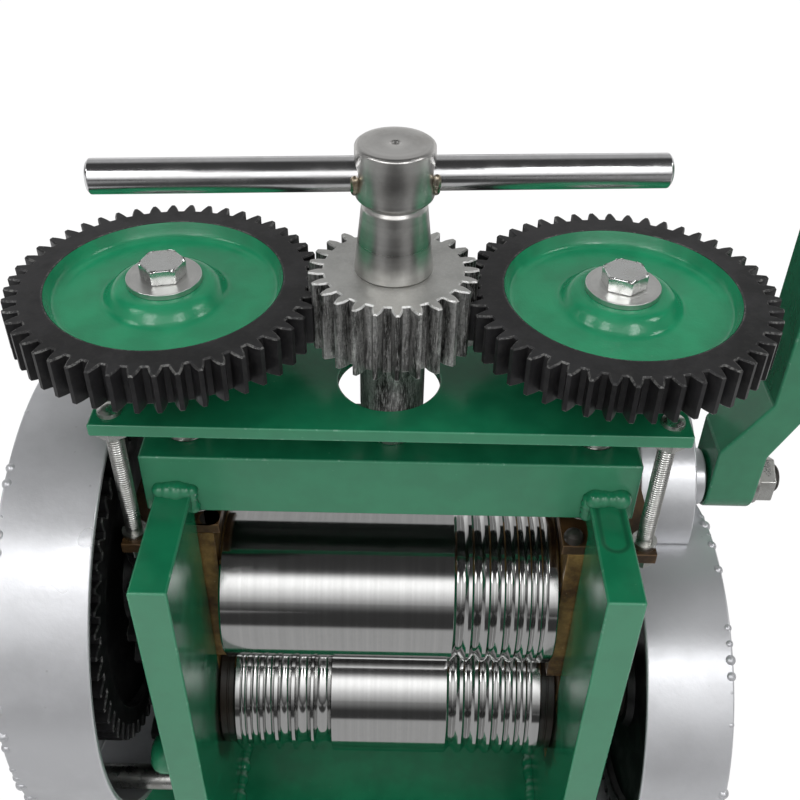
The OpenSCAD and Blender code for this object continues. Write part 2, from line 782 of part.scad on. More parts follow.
module crank_arm() {
    half = arm_width / 2;
    color([0.05, 0.3, 0.19]) difference() {
        intersection() {
            translate([0, crank_y + half + 1, crank_height]) rotate([90, 0, 0])
                linear_extrude(height = arm_width + 2) polygon([
                    [arm_inner, -30], [arm_outer, -30], [arm_outer, 22], [arm_outer_high, 41],
                    [arm_outer_high, crank_length + 30], [arm_inner_high, crank_length + 30],
                    [arm_inner_high, 49], [arm_inner, 24]]);
            union() {
                bar_x(arm_inner - 10, arm_outer_high + 10, crank_y, crank_height, half);
                bar_x(arm_inner - 10, arm_outer_high + 10, crank_y, grip_height, half);
                box_between([arm_inner - 10, crank_y - half, crank_height],
                    [arm_outer_high + 10, crank_y + half, grip_height]);
            }
        }
        bar_x(arm_inner - bite, arm_outer + bite, crank_y, crank_height, shaft_radius);
        bar_x(arm_inner - bite, arm_outer_high + bite, crank_y, grip_height, grip_pin_radius);
    }
}

crank_washer_height = 2;
crank_nut_height = 7;

module crank_washer() {
    color([0.7, 0.7, 0.7]) difference() {
        bar_x(arm_outer, arm_outer + crank_washer_height, crank_y, crank_height, 11);
        bar_x(arm_outer - bite, arm_outer + crank_washer_height + bite, crank_y, crank_height,
            shaft_end_radius);
    }
}

module crank_nut() {
    low = arm_outer + crank_washer_height;
    color([0.7, 0.7, 0.7]) difference() {
        hex_x(low, low + crank_nut_height, crank_y, crank_height, 18);
        bar_x(low - bite, low + crank_nut_height + bite, crank_y, crank_height, shaft_end_radius);
    }
}

grip_end = grip_start + grip_length;

grip_end_gap = 0.4;
grip_cap_radius = grip_pin_radius + 3;
grip_cap_height = 4.1;

module grip_pin() {
    low = grip_end + grip_end_gap;
    high = low + grip_cap_height;
    color([0.6, 0.6, 0.6]) turned_x(crank_y, grip_height, [
        [arm_inner_high, 0], [arm_inner_high, grip_pin_radius], [low, grip_pin_radius],
        [low, grip_cap_radius], [high - 2.5, grip_cap_radius], [high - 0.5, grip_pin_radius], [high, 0]]);
}

module crank_grip() {
    half = grip_diameter / 2;
    color([0.08, 0.07, 0.06]) difference() {
        turned_x(crank_y, grip_height, [
            [grip_start, 0], [grip_start, half - 4], [grip_start + 2, half - 2.4],
            [grip_start + grip_length * 0.25, half - 0.6], [grip_start + grip_length * 0.5, half],
            [grip_start + grip_length * 0.75, half - 0.6], [grip_end - 2, half - 2.4],
            [grip_end, half - 4], [grip_end, 0]]);
        bar_x(grip_start - bite, grip_end + bite, crank_y, grip_height, grip_pin_radius + fit_gap);
    }
}

// Covers

// The left cover's studs, by their distance inside its rim and their angle
cover_stud_reach = 6.5;
cover_stud_hole = 8;
cover_nut_flats = 10;
cover_nut_height = 4.5;
cover_stud_radius = 3;
cover_shoulder_radius = 5;
cover_screw_radius = 2.5;
plate_middle = (plate_inner + plate_outer) / 2;
left_studs = [0 : 2];
function left_stud_reach(i) = left_cover_radius - left_stud_insets[i];
function left_stud_y(i) = left_cover[0] + left_stud_reach(i) * cos(left_stud_angles[i]);
function left_stud_z(i) = left_cover[1] + left_stud_reach(i) * sin(left_stud_angles[i]);

module left_gear_cover() {
    color([0.66, 0.67, 0.67]) difference() {
        bar_x(left_cover_face[0], left_cover_face[1], left_cover[0], left_cover[1], left_cover_radius);
        bar_x(left_cover_face[0] + cover_wall, left_cover_face[1] + bite, left_cover[0], left_cover[1],
            left_cover_radius - cover_wall);
        for (i = left_studs)
            bar_x(left_cover_face[0] - bite, left_cover_face[1], left_stud_y(i), left_stud_z(i),
                cover_stud_radius);
    }
}

module cover_studs() {
    start = left_cover_face[0] - cover_stud_reach;
    shoulder = left_cover_face[0] + cover_wall;
    color([0.6, 0.6, 0.58]) for (i = left_studs)
        turned_x(left_stud_y(i), left_stud_z(i), [
            [start, 0], [start, cover_stud_radius - 0.6], [start + 0.5, cover_stud_radius],
            [shoulder, cover_stud_radius], [shoulder, cover_shoulder_radius],
            [-plate_outer, cover_shoulder_radius], [-plate_outer, cover_stud_radius],
            [-plate_outer + cover_stud_hole, cover_stud_radius], [-plate_outer + cover_stud_hole, 0]]);
}

module cover_nuts() {
    color([0.6, 0.6, 0.58]) for (i = left_studs) difference() {
        hex_x(left_cover_face[0] - cover_nut_height, left_cover_face[0], left_stud_y(i), left_stud_z(i),
            cover_nut_flats);
        bar_x(left_cover_face[0] - cover_nut_height - bite, left_cover_face[0] + bite,
            left_stud_y(i), left_stud_z(i), cover_stud_radius);
    }
}

function right_post_y(p) = right_cover[0] + right_post_reach * p[0];
function right_post_z(p) = right_cover[1] + right_post_reach * p[1];
ear_end = right_cover_face[0] + 3;
ear_radius = 9;

module right_gear_cover() {
    color([0.66, 0.67, 0.67]) difference() {
        union() {
            bar_x(right_cover_face[0], right_cover_face[1], right_cover[0], right_cover[1],
                right_cover_radius);
            for (p = right_post_points)
                bar_x(right_cover_face[0], ear_end, right_post_y(p), right_post_z(p), ear_radius);
        }
        bar_x(right_cover_face[0] - bite, right_cover_face[1] - cover_wall, right_cover[0], right_cover[1],
            right_cover_radius - cover_wall);
        bar_x(right_cover_face[0] - bite, small_housing_end - small_housing_wall, crank_y, crank_height,
            small_housing_radius - small_housing_wall);
        for (p = right_post_points)
            bar_x(right_cover_face[0] - bite, ear_end + bite, right_post_y(p), right_post_z(p),
                cover_screw_radius);
    }
}

// Small housing over the crank pinion, welded to the gear cover's rim, with a tab screwed to the plate
tab_low = crank_height + 20;
tab_high = crank_height + 36;
tab_hole_height = crank_height + 28;
tab_thickness = 3;
lip_end = right_cover_face[0] + 4;

module pinion_cover() {
    color([0.66, 0.67, 0.67]) difference() {
        union() {
            bar_x(right_cover_face[0], small_housing_end, crank_y, crank_height, small_housing_radius);
            bar_x(small_housing_end - bite, boss_end, crank_y, crank_height, boss_radius);
            box_between([plate_inner + 1.5, plate_depth / 2, tab_low],
                [lip_end, plate_depth / 2 + tab_thickness, tab_high]);
        }
        bar_x(lip_end, small_housing_end - small_housing_wall, crank_y, crank_height,
            small_housing_radius - small_housing_wall);
        difference() {
            bar_x(right_cover_face[0] - bite, lip_end + bite, crank_y, crank_height,
                small_housing_radius - small_housing_wall);
            box_between([right_cover_face[0] - 2 * bite, plate_depth / 2, tab_low],
                [lip_end, plate_depth / 2 + tab_thickness, tab_high + 4]);
        }
        bar_x(right_cover_face[0] - bite, boss_end + bite, right_cover[0], right_cover[1],
            right_cover_radius);
        bar_x(small_housing_end - 3, boss_end + bite, crank_y, crank_height, cover_bush_radius);
        translate([plate_middle, plate_depth / 2 + 5, tab_hole_height])
            rotate([90, 0, 0]) cylinder(h = 12, r = cover_screw_radius);
    }
}

module cover_posts() {
    color([0.6, 0.6, 0.58]) for (p = right_post_points) difference() {
        turned_x(right_post_y(p), right_post_z(p), [
            [plate_outer - 7, 0], [plate_outer - 7, cover_stud_radius], [plate_outer, cover_stud_radius],
            [plate_outer, cover_shoulder_radius], [right_cover_face[0], cover_shoulder_radius],
            [right_cover_face[0], 0]]);
        bar_x(right_cover_face[0] - 9, right_cover_face[0] + bite, right_post_y(p), right_post_z(p),
            cover_screw_radius);
    }
}

// Outline of a cover screw: points are [distance from the plate, radius], the head on a sheet
function screw_points(sheet) = [
    [-8, 0], [-8, cover_screw_radius], [sheet, cover_screw_radius], [sheet, 4.5], [sheet + 2, 4.2],
    [sheet + 3, 2.8], [sheet + 3.3, 0]];

module cover_screws() {
    color([0.7, 0.7, 0.7]) {
        for (p = right_post_points) translate([right_cover_face[0], 0, 0])
            turned_x(right_post_y(p), right_post_z(p), screw_points(ear_end - right_cover_face[0]));
        translate([plate_middle, plate_depth / 2, tab_hole_height]) rotate([-90, 0, 0])
            rotate_extrude() polygon([for (p = screw_points(tab_thickness)) [p[1], p[0]]]);
    }
}

base_plate();
side_plate_left();
side_plate_right();
top_beam();
frame_welds();
plate_plug();
lower_bearing_left();
lower_bearing_right();
upper_bearing_left();
upper_bearing_right();
bearing_bolts();
thrust_pads();
lift_plate();
lift_studs();
stud_nuts();
yoke_left();
yoke_right();
pressure_screw_left();
pressure_screw_right();
screw_ring_left();
screw_ring_right();
screw_sleeve_left();
screw_sleeve_right();
screw_gear_left();
screw_gear_right();
gear_washer_left();
gear_washer_right();
gear_bolt_left();
gear_bolt_right();
pinion_post();
adjusting_pinion();
t_post();
t_bar();
upper_roll();
upper_coupling_gear();
upper_wheel();
upper_end_ring();
lower_roll();
roll_collars();
lower_coupling_gear();
drive_wheel();
lower_end_rings();
crank_shaft();
shaft_ring();
crank_pinion();
plate_bush();
cover_bush();
crank_arm();
crank_washer();
crank_nut();
grip_pin();
crank_grip();
left_gear_cover();
cover_studs();
cover_nuts();
right_gear_cover();
pinion_cover();
cover_posts();
cover_screws();
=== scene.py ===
"""Jewellers rolling mill: enamelled frame, geared screw-down, polished rolls, round covers and crank."""
import json
import math

import bmesh
import bpy
from bpy.props import FloatProperty, FloatVectorProperty, IntProperty, PointerProperty
from bpy.types import Operator, Panel, PropertyGroup
from mathutils import Matrix, Vector


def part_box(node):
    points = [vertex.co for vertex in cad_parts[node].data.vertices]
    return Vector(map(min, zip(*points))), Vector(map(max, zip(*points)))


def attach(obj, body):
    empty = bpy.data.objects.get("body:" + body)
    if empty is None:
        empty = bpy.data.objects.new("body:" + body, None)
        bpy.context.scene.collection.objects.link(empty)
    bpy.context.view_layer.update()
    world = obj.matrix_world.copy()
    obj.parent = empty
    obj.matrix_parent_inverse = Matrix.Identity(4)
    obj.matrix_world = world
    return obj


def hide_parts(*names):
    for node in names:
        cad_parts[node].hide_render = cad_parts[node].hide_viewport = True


bl_info = {
    "name": "Jewellers rolling mill",
    "version": (1, 0, 0),
    "blender": (4, 5, 0),
    "location": "View3D > Sidebar > Rolling mill",
    "description": "Builds the finished pieces of a hand cranked rolling mill around its frame",
    "category": "Add Mesh",
}

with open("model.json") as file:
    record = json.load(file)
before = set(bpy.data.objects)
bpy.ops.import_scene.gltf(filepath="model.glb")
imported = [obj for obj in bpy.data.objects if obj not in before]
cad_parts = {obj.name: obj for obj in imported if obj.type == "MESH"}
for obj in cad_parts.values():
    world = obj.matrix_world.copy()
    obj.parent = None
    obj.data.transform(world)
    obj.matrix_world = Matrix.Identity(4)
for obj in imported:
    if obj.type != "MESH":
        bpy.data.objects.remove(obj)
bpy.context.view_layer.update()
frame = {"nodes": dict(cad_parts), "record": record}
NODES = frame["nodes"]
BODY_OF = {node: body for body, nodes in frame["record"]["behaviour"]["bodies"].items() for node in nodes}
SLOT_OF = {part["node"]: part["material_slot"] for part in frame["record"]["subparts"]}
MM = 0.001
FINISH_MARK = "_look"


def middle(node):
    """Centre of a node's box."""
    low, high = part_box(node)
    return (low + high) / 2


def half_size(node):
    """Half of a node's box."""
    low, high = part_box(node)
    return (high - low) / 2


# Sizes and colours that a user would change

class MillSizes(PropertyGroup):
    """Sizes of the finish: chamfers, threads, gear teeth and weld beads."""

    enamel_edge: FloatProperty(
        name="Enamel edge", description="Radius of the painted edges of the frame",
        default=0.9 * MM, min=0.0002, max=0.002, unit="LENGTH")
    metal_edge: FloatProperty(
        name="Metal edge", description="Chamfer of bare machined edges",
        default=0.35 * MM, min=0.0001, max=0.001, unit="LENGTH")
    stud_pitch: FloatProperty(
        name="Stud pitch", description="Pitch of the thread on the lifting studs",
        default=1.0 * MM, min=0.0005, max=0.002, unit="LENGTH")
    screw_pitch: FloatProperty(
        name="Screw pitch", description="Pitch of the thread on the pressure screws",
        default=2.0 * MM, min=0.001, max=0.003, unit="LENGTH")
    gear_module: FloatProperty(
        name="Screw gear module", description="Module of the adjusting pinion and the screw gears",
        default=2.0 * MM, min=0.001, max=0.004, unit="LENGTH")
    wheel_module: FloatProperty(
        name="Drive wheel module", description="Module of the drive wheels and the crank pinion",
        default=2.5 * MM, min=0.001, max=0.004, unit="LENGTH")
    bead_size: FloatProperty(
        name="Weld bead", description="Radius of one drop of a weld bead",
        default=2.6 * MM, min=0.001, max=0.005, unit="LENGTH")
    screw_teeth: IntProperty(
        name="Screw gear teeth", description="Teeth of each screw gear", default=48, min=20)
    pinion_teeth: IntProperty(
        name="Pinion teeth", description="Teeth of the adjusting pinion", default=25, min=12)


class MillColours(PropertyGroup):
    """Colours of the finishes."""

    enamel: FloatVectorProperty(
        name="Enamel", description="Green enamel of the frame", subtype="COLOR", size=3,
        default=(0.010, 0.185, 0.083), min=0, max=1)
    silver: FloatVectorProperty(
        name="Silver paint", description="Paint of the gear covers", subtype="COLOR", size=3,
        default=(0.55, 0.555, 0.575), min=0, max=1)
    black: FloatVectorProperty(
        name="Gear black", description="Black of the gear rims", subtype="COLOR", size=3,
        default=(0.009, 0.0088, 0.0095), min=0, max=1)
    steel: FloatVectorProperty(
        name="Roll steel", description="Ground steel of the rolls", subtype="COLOR", size=3,
        default=(0.58, 0.58, 0.575), min=0, max=1)
    bronze: FloatVectorProperty(
        name="Bronze", description="Oily bronze of the bearing blocks", subtype="COLOR", size=3,
        default=(0.27, 0.17, 0.055), min=0, max=1)


# Shader node groups

def new_group(name, inputs, outputs):
    """A shader group with named sockets; inputs are (name, type, default), outputs (name, type)."""
    group = bpy.data.node_groups.new(name, "ShaderNodeTree")
    for label, kind, default in inputs:
        socket = group.interface.new_socket(name=label, in_out="INPUT", socket_type="NodeSocket" + kind)
        socket.default_value = default
    for label, kind in outputs:
        group.interface.new_socket(name=label, in_out="OUTPUT", socket_type="NodeSocket" + kind)
    return group


class Wires:
    """Short names for adding and linking nodes in a tree."""

    def __init__(self, tree):
        self.tree = tree

    def add(self, kind, **settings):
        """A node with its settings."""
        node = self.tree.nodes.new(kind)
        for key, value in settings.items():
            setattr(node, key, value)
        return node

    def link(self, source, target):
        """A wire from one socket to another."""
        self.tree.links.new(source, target)

    def put(self, value, target):
        """A value or a socket goes into a socket."""
        if isinstance(value, bpy.types.NodeSocket):
            self.link(value, target)
        else:
            target.default_value = value

    def math(self, operation, a, b=0.0, clamp=False):
        """The result of a sum or another operation."""
        node = self.add("ShaderNodeMath", operation=operation, use_clamp=clamp)
        self.put(a, node.inputs[0])
        self.put(b, node.inputs[1])
        return node.outputs[0]

    def times(self, a, b):
        """The product of two values."""
        return self.math("MULTIPLY", a, b)

    def after(self, source, kind, socket=0, **settings):
        """A node that takes a source in one of its sockets."""
        node = self.add(kind, **settings)
        self.link(source, node.inputs[socket])
        return node

    def split(self, vector):
        """The three parts of a vector."""
        return self.after(vector, "ShaderNodeSeparateXYZ").outputs

    def facing(self):
        """The three parts of the surface normal."""
        return self.split(self.add("ShaderNodeNewGeometry").outputs["Normal"])

    def length(self, a, b):
        """The length of a vector with two parts."""
        return self.math("SQRT", self.math("ADD", self.times(a, a), self.times(b, b)))

    def ramp(self, value, low, high, to_low=0.0, to_high=1.0):
        """A smooth change from one value to another."""
        node = self.add("ShaderNodeMapRange", interpolation_type="SMOOTHSTEP")
        self.put(value, node.inputs["Value"])
        self.put(low, node.inputs["From Min"])
        self.put(high, node.inputs["From Max"])
        self.put(to_low, node.inputs["To Min"])
        self.put(to_high, node.inputs["To Max"])
        return node.outputs["Result"]

    def noise(self, vector, scale, detail=3.0, roughness=0.55):
        """Cloudy noise between 0 and 1."""
        node = self.add("ShaderNodeTexNoise")
        self.put(vector, node.inputs["Vector"])
        self.put(scale, node.inputs["Scale"])
        node.inputs["Detail"].default_value = detail
        node.inputs["Roughness"].default_value = roughness
        return node.outputs["Fac"]

    def mix(self, factor, a, b):
        """A colour between two colours."""
        node = self.add("ShaderNodeMix", data_type="RGBA")
        self.put(factor, node.inputs[0])
        self.put(a if isinstance(a, bpy.types.NodeSocket) else (*a[:3], 1.0), node.inputs[6])
        self.put(b if isinstance(b, bpy.types.NodeSocket) else (*b[:3], 1.0), node.inputs[7])
        return node.outputs[2]

    def place(self, centre=(0.0, 0.0, 0.0), scale=(1.0, 1.0, 1.0)):
        """Object coordinates, moved to a centre and stretched."""
        source = self.add("ShaderNodeTexCoord").outputs["Object"]
        mapping = self.add("ShaderNodeMapping", vector_type="POINT")
        self.link(source, mapping.inputs["Vector"])
        mapping.inputs["Location"].default_value = [-c * s for c, s in zip(centre, scale)]
        mapping.inputs["Scale"].default_value = scale
        return mapping.outputs["Vector"]


def group_wires(group):
    """The wires of a group with its ends."""
    wires = Wires(group)
    return wires, wires.add("NodeGroupInput").outputs, wires.add("NodeGroupOutput").inputs


def build_edge_highlight_and_wear_group():
    """A painted highlight line along the rounded edges from the edge attribute, and worn nicks where that
    attribute is broken up by noise.
    """
    group = new_group("Edge wear", [("Vector", "Vector", (0, 0, 0)), ("Scale", "Float", 400.0),
        ("Amount", "Float", 0.5)], [("Line", "Float"), ("Nicks", "Float")])
    wires, ends, out = group_wires(group)
    edge = wires.add("ShaderNodeAttribute", attribute_name="edge").outputs["Fac"]
    fine = wires.noise(ends["Vector"], ends["Scale"], 4.0, 0.7)
    coarse = wires.noise(ends["Vector"], wires.times(ends["Scale"], 0.16), 2.0)
    blend = wires.math("ADD", wires.times(fine, 0.6), wires.times(coarse, 0.4))
    start = wires.math("SUBTRACT", 0.78, wires.times(ends["Amount"], 0.45))
    broken = wires.ramp(blend, start, wires.math("ADD", start, 0.08))
    wires.link(wires.times(wires.ramp(edge, 0.25, 0.95), broken), out["Nicks"])
    wires.link(wires.ramp(edge, 0.1, 0.9), out["Line"])
    return group


def build_peel_group():
    """Orange peel and slow waves of thick paint, as a height."""
    group = new_group("Paint skin", [("Vector", "Vector", (0, 0, 0)), ("Peel scale", "Float", 700.0),
        ("Wave scale", "Float", 90.0), ("Peel", "Float", 0.5)], [("Height", "Float"), ("Tone", "Float")])
    wires, ends, out = group_wires(group)
    peel = wires.noise(ends["Vector"], ends["Peel scale"], 2.0)
    wave = wires.noise(ends["Vector"], ends["Wave scale"], 2.0)
    height = wires.math("ADD", wires.times(peel, ends["Peel"]), wires.times(wave, 2.2))
    wires.link(height, out["Height"])
    wires.link(wave, out["Tone"])
    return group


def build_speck_group():
    """Dust and inclusions: small round specks with soft rims."""
    group = new_group("Specks", [("Vector", "Vector", (0, 0, 0)), ("Scale", "Float", 260.0),
        ("Size", "Float", 0.12)], [("Mask", "Float")])
    wires, ends, out = group_wires(group)
    cells = wires.after(ends["Vector"], "ShaderNodeTexVoronoi", "Vector")
    wires.link(ends["Scale"], cells.inputs["Scale"])
    keep = wires.math("GREATER_THAN", wires.noise(ends["Vector"], 170.0, 1.0), 0.56)
    near = wires.ramp(cells.outputs["Distance"], 0.0, ends["Size"], 1.0, 0.0)
    wires.link(wires.times(near, keep), out["Mask"])
    return group


def build_turned_group():
    """Turning marks: fine lines that depend on one coordinate alone."""
    group = new_group("Turning marks", [("Along", "Float", 0.0), ("Scale", "Float", 3000.0)],
        [("Height", "Float"), ("Tone", "Float")])
    wires, ends, out = group_wires(group)
    point = wires.after(ends["Along"], "ShaderNodeCombineXYZ")
    fine = wires.noise(point.outputs[0], ends["Scale"], 4.0, 0.8)
    coarse = wires.noise(point.outputs[0], wires.times(ends["Scale"], 0.12), 3.0, 0.7)
    wires.link(fine, out["Height"])
    wires.link(coarse, out["Tone"])
    return group


def build_smudge_group():
    """Oil, grease and handling marks as two masks of different size."""
    group = new_group("Smudges", [("Vector", "Vector", (0, 0, 0)), ("Scale", "Float", 60.0)],
        [("Broad", "Float"), ("Fine", "Float")])
    wires, ends, out = group_wires(group)
    broad = wires.noise(ends["Vector"], ends["Scale"], 5.0, 0.65)
    fine = wires.noise(ends["Vector"], wires.times(ends["Scale"], 9.0), 5.0, 0.7)
    wires.link(wires.ramp(broad, 0.38, 0.66), out["Broad"])
    wires.link(wires.ramp(fine, 0.45, 0.7), out["Fine"])
    return group


GROUP_BUILDERS = {
    "Edge wear": build_edge_highlight_and_wear_group,
    "Paint skin": build_peel_group,
    "Specks": build_speck_group,
    "Turning marks": build_turned_group,
    "Smudges": build_smudge_group,
}


# Materials

class Finish(Wires):
    """A material in the making: its wires and its Principled shader."""

    def __init__(self, name):
        self.material = bpy.data.materials.new(name + FINISH_MARK)
        self.material.use_nodes = True
        super().__init__(self.material.node_tree)
        self.shader = self.tree.nodes["Principled BSDF"]

    def group(self, name, **values):
        node = self.add("ShaderNodeGroup")
        node.node_tree = bpy.data.node_groups.get(name) or GROUP_BUILDERS[name]()
        for key, value in values.items():
            self.put(value, node.inputs[key.replace("_", " ").capitalize()])
        return node.outputs

    def set(self, **values):
        for key, value in values.items():
            self.put(value, self.shader.inputs[key.replace("_", " ")])

    def bump(self, height, strength, distance):
        node = self.after(height, "ShaderNodeBump", "Height")
        node.inputs["Strength"].default_value = strength
        node.inputs["Distance"].default_value = distance
        self.link(node.outputs["Normal"], self.shader.inputs["Normal"])


def shade(colour, factor):
    """A colour made lighter or darker."""
    return tuple(min(1.0, c * factor) for c in colour)


# Colours that paint and oil take where they are worn, dusty or dirty, and colours of painted light: a sheen
# on forward faces, a highlight on rounded edges and the black reflection of the collars
FRONT_SHEEN_GREEN = (0.085, 0.225, 0.145)
EDGE_HIGHLIGHT_GREEN = (0.06, 0.26, 0.15)
DUSTY_GREEN = (0.10, 0.28, 0.17)
NICK_GREEN = (0.30, 0.44, 0.36)
COLLAR_REFLECTION_BLACK = (0.006, 0.005, 0.004)
BROWN_OIL = (0.05, 0.022, 0.008)
# Painted black reflection of the collars, with oil runs, on the plates: its radius round the lower roll's
# axis, how ragged its edge is, and the inner faces
REFLECTION_AND_OIL_RADIUS = 40 * MM
REFLECTION_AND_OIL_RAGGED = 12 * MM
REFLECTION_AND_OIL_INNER = 71.2 * MM
# Shares on the plates of the painted black reflection of the collars, with its oil runs, and of the paler
# painted sheen on forward faces
PLATE_REFLECTION_AND_OIL = 0.95
PLATE_FRONT_SHEEN = 0.55
# Hollow in the paint of the right plate: its radius with that of its rim of painted shade, and the place of
# its round end
DIMPLE_RADIUS = 4.2 * MM
DIMPLE_RIM = 5.6 * MM
DIMPLE_Y = -36.5 * MM


def collar_reflection_and_oil(look, base, place, reflection_and_oil):
    """Painted black reflection of the collars round the lower roll's axis and brown oil runs below it, on the
    plates' inner faces.
    """
    x, y, z = look.split(look.place((0.0, 0.0, middle("lower_roll").z)))
    ragged = look.math("ADD", look.length(y, z), look.times(look.noise(place, 120.0, 4.0), REFLECTION_AND_OIL_RAGGED))
    inner = look.math("LESS_THAN", look.math("ABSOLUTE", x), REFLECTION_AND_OIL_INNER)
    stain = look.times(look.ramp(ragged, REFLECTION_AND_OIL_RADIUS, REFLECTION_AND_OIL_RADIUS + 5 * MM, 1.0, 0.0), inner)
    runs = look.times(look.ramp(look.noise(place, 200.0, 3.0), 0.55, 0.68),
        look.ramp(ragged, REFLECTION_AND_OIL_RADIUS + 2 * MM, REFLECTION_AND_OIL_RADIUS + 15 * MM, 1.0, 0.0))
    # painted reflection: the stain here is the black collars seen in the glossy inner faces, painted as a
    # black patch round the lower roll's axis
    base = look.mix(look.times(stain, reflection_and_oil), base, COLLAR_REFLECTION_BLACK)
    return look.mix(look.times(look.times(runs, inner), 0.8), base, BROWN_OIL)


def dimpled(look, base, height, place, dark):
    """A hollow in thick paint, open to the rear and round in front, with painted shade along its rim."""
    x, y, _ = look.split(look.place(place))
    reach = look.length(x, look.math("MINIMUM", y, 0.0))
    inside, outside = DIMPLE_RADIUS - 1.2 * MM, DIMPLE_RADIUS + 1.2 * MM
    height = look.math("ADD", height, look.times(look.ramp(reach, inside, outside), 22.0))
    # painted shade: a dark band along the rim of the hollow
    rim = look.times(look.ramp(reach, inside, DIMPLE_RADIUS),
        look.ramp(reach, DIMPLE_RADIUS, DIMPLE_RIM, 1.0, 0.0))
    return look.mix(look.times(rim, 0.7), base, dark), height


def green_enamel(name="green_enamel", peel=0.5, front_sheen=0.35, depth=0.74, reflection_and_oil=0.0, painted_shade_below=None,
        dimple=None):
    """Thick glossy enamel with orange peel and nicked edges, a painted highlight line on its rounded edges
    and a paler painted sheen on the faces that look forward.
    """
    look = Finish(name)
    green = tuple(bpy.context.scene.mill_colours.enamel)
    place = look.place()
    skin = look.group("Paint skin", vector=place, peel=peel)
    highlight_and_wear = look.group("Edge wear", vector=place, scale=520.0, amount=0.5)
    dust = look.group("Specks", vector=place, scale=240.0, size=0.09)
    base = look.mix(look.ramp(skin["Tone"], 0.3, 0.7), shade(green, 0.88 * depth), shade(green, 1.08 * depth))
    # painted sheen: faces that look forward (towards -Y) are mixed towards a paler, greyer green, standing in
    # for their reflection of the pale floor
    base = look.mix(look.ramp(look.facing()[1], -0.95, -0.5, front_sheen, 0.0), base, FRONT_SHEEN_GREEN)
    # painted highlight: a paler line along every rounded edge
    base = look.mix(look.times(highlight_and_wear["Line"], 0.3), base, EDGE_HIGHLIGHT_GREEN)
    base = look.mix(look.times(dust["Mask"], 0.5), base, DUSTY_GREEN)
    base = look.mix(look.times(highlight_and_wear["Nicks"], 0.25), base, NICK_GREEN)
    height = skin["Height"]
    if reflection_and_oil:
        base = collar_reflection_and_oil(look, base, place, reflection_and_oil)
    if painted_shade_below:
        # painted shade: the underside of the beam is mixed to near black
        under = look.ramp(look.split(place)[2], painted_shade_below, painted_shade_below + 0.4 * MM, 0.93, 0.0)
        base = look.mix(under, base, (0.006, 0.007, 0.006))
    if dimple:
        base, height = dimpled(look, base, height, dimple, shade(green, 0.3))
    look.set(Base_Color=base, Roughness=look.ramp(skin["Tone"], 0.2, 0.8, 0.16, 0.27), IOR=1.5)
    look.bump(height, 0.22, 0.22 * MM)
    return look.material


def silver_paint():
    """Silver paint over weld spatter, with specks and a soft painted highlight along its rounded edges."""
    look = Finish("silver_paint")
    silver = tuple(bpy.context.scene.mill_colours.silver)
    place = look.place()
    skin = look.group("Paint skin", vector=place, peel=0.7, peel_scale=520.0, wave_scale=45.0)
    dust = look.group("Specks", vector=place, scale=150.0, size=0.10)
    smudge = look.group("Smudges", vector=place, scale=28.0)
    highlight_and_wear = look.group("Edge wear", vector=place, scale=300.0, amount=0.4)
    base = look.mix(smudge["Broad"], shade(silver, 0.93), shade(silver, 1.05))
    # painted highlight: a paler line along every rounded edge
    base = look.mix(look.times(highlight_and_wear["Line"], 0.4), base, (0.72, 0.73, 0.75))
    base = look.mix(look.times(dust["Mask"], 0.45), base, (0.24, 0.24, 0.25))
    look.set(Base_Color=base, Roughness=look.ramp(skin["Tone"], 0.2, 0.8, 0.27, 0.36), Metallic=0.6)
    look.bump(skin["Height"], 0.22, 0.00025)
    return look.material


def black_gear():
    """Oiled black with thin painted highlight lines along the tooth edges and rubbed bright metal where the
    teeth have run.
    """
    look = Finish("black_gear")
    black = tuple(bpy.context.scene.mill_colours.black)
    place = look.place()
    smudge = look.group("Smudges", vector=place, scale=70.0)
    highlight_and_wear = look.group("Edge wear", vector=place, scale=900.0, amount=0.62)
    base = look.mix(smudge["Broad"], shade(black, 0.7), shade(black, 1.5))
    base = look.mix(look.times(smudge["Fine"], 0.12), base, (0.06, 0.055, 0.05))
    # painted highlight: a grey line along the rounded tooth edges
    base = look.mix(look.times(highlight_and_wear["Line"], 0.12), base, (0.10, 0.10, 0.10))
    rubbed = look.times(highlight_and_wear["Nicks"], 0.4)
    base = look.mix(rubbed, base, (0.26, 0.26, 0.25))
    rough = look.ramp(smudge["Broad"], 0.0, 1.0, 0.42, 0.3)
    look.set(Base_Color=base, Roughness=rough, Specular_IOR_Level=0.3, Metallic=rubbed)
    look.bump(look.noise(place, 1400.0, 3.0), 0.16, 0.0001)
    return look.material


def roll_steel():
    """Ground steel: fine lines round the roll and slow changes of polish."""
    look = Finish("roll_steel")
    steel = tuple(bpy.context.scene.mill_colours.steel)
    place = look.place()
    marks = look.group("Turning marks", along=look.split(place)[0], scale=2600.0)
    smudge = look.group("Smudges", vector=place, scale=40.0)
    base = look.mix(look.ramp(marks["Tone"], 0.25, 0.75), shade(steel, 0.9), shade(steel, 1.04))
    base = look.mix(look.times(smudge["Fine"], 0.06), base, (0.3, 0.27, 0.24))
    rough = look.math("ADD", look.ramp(marks["Tone"], 0.2, 0.8, 0.075, 0.12),
        look.times(smudge["Broad"], 0.02))
    look.set(Base_Color=base, Roughness=rough, Metallic=1.0)
    look.bump(marks["Height"], 0.16, 0.00002)
    return look.material


EDGE_HIGHLIGHT_BRIGHT = (0.85, 0.85, 0.83)
WASHER_GREY = (0.78, 0.78, 0.76)


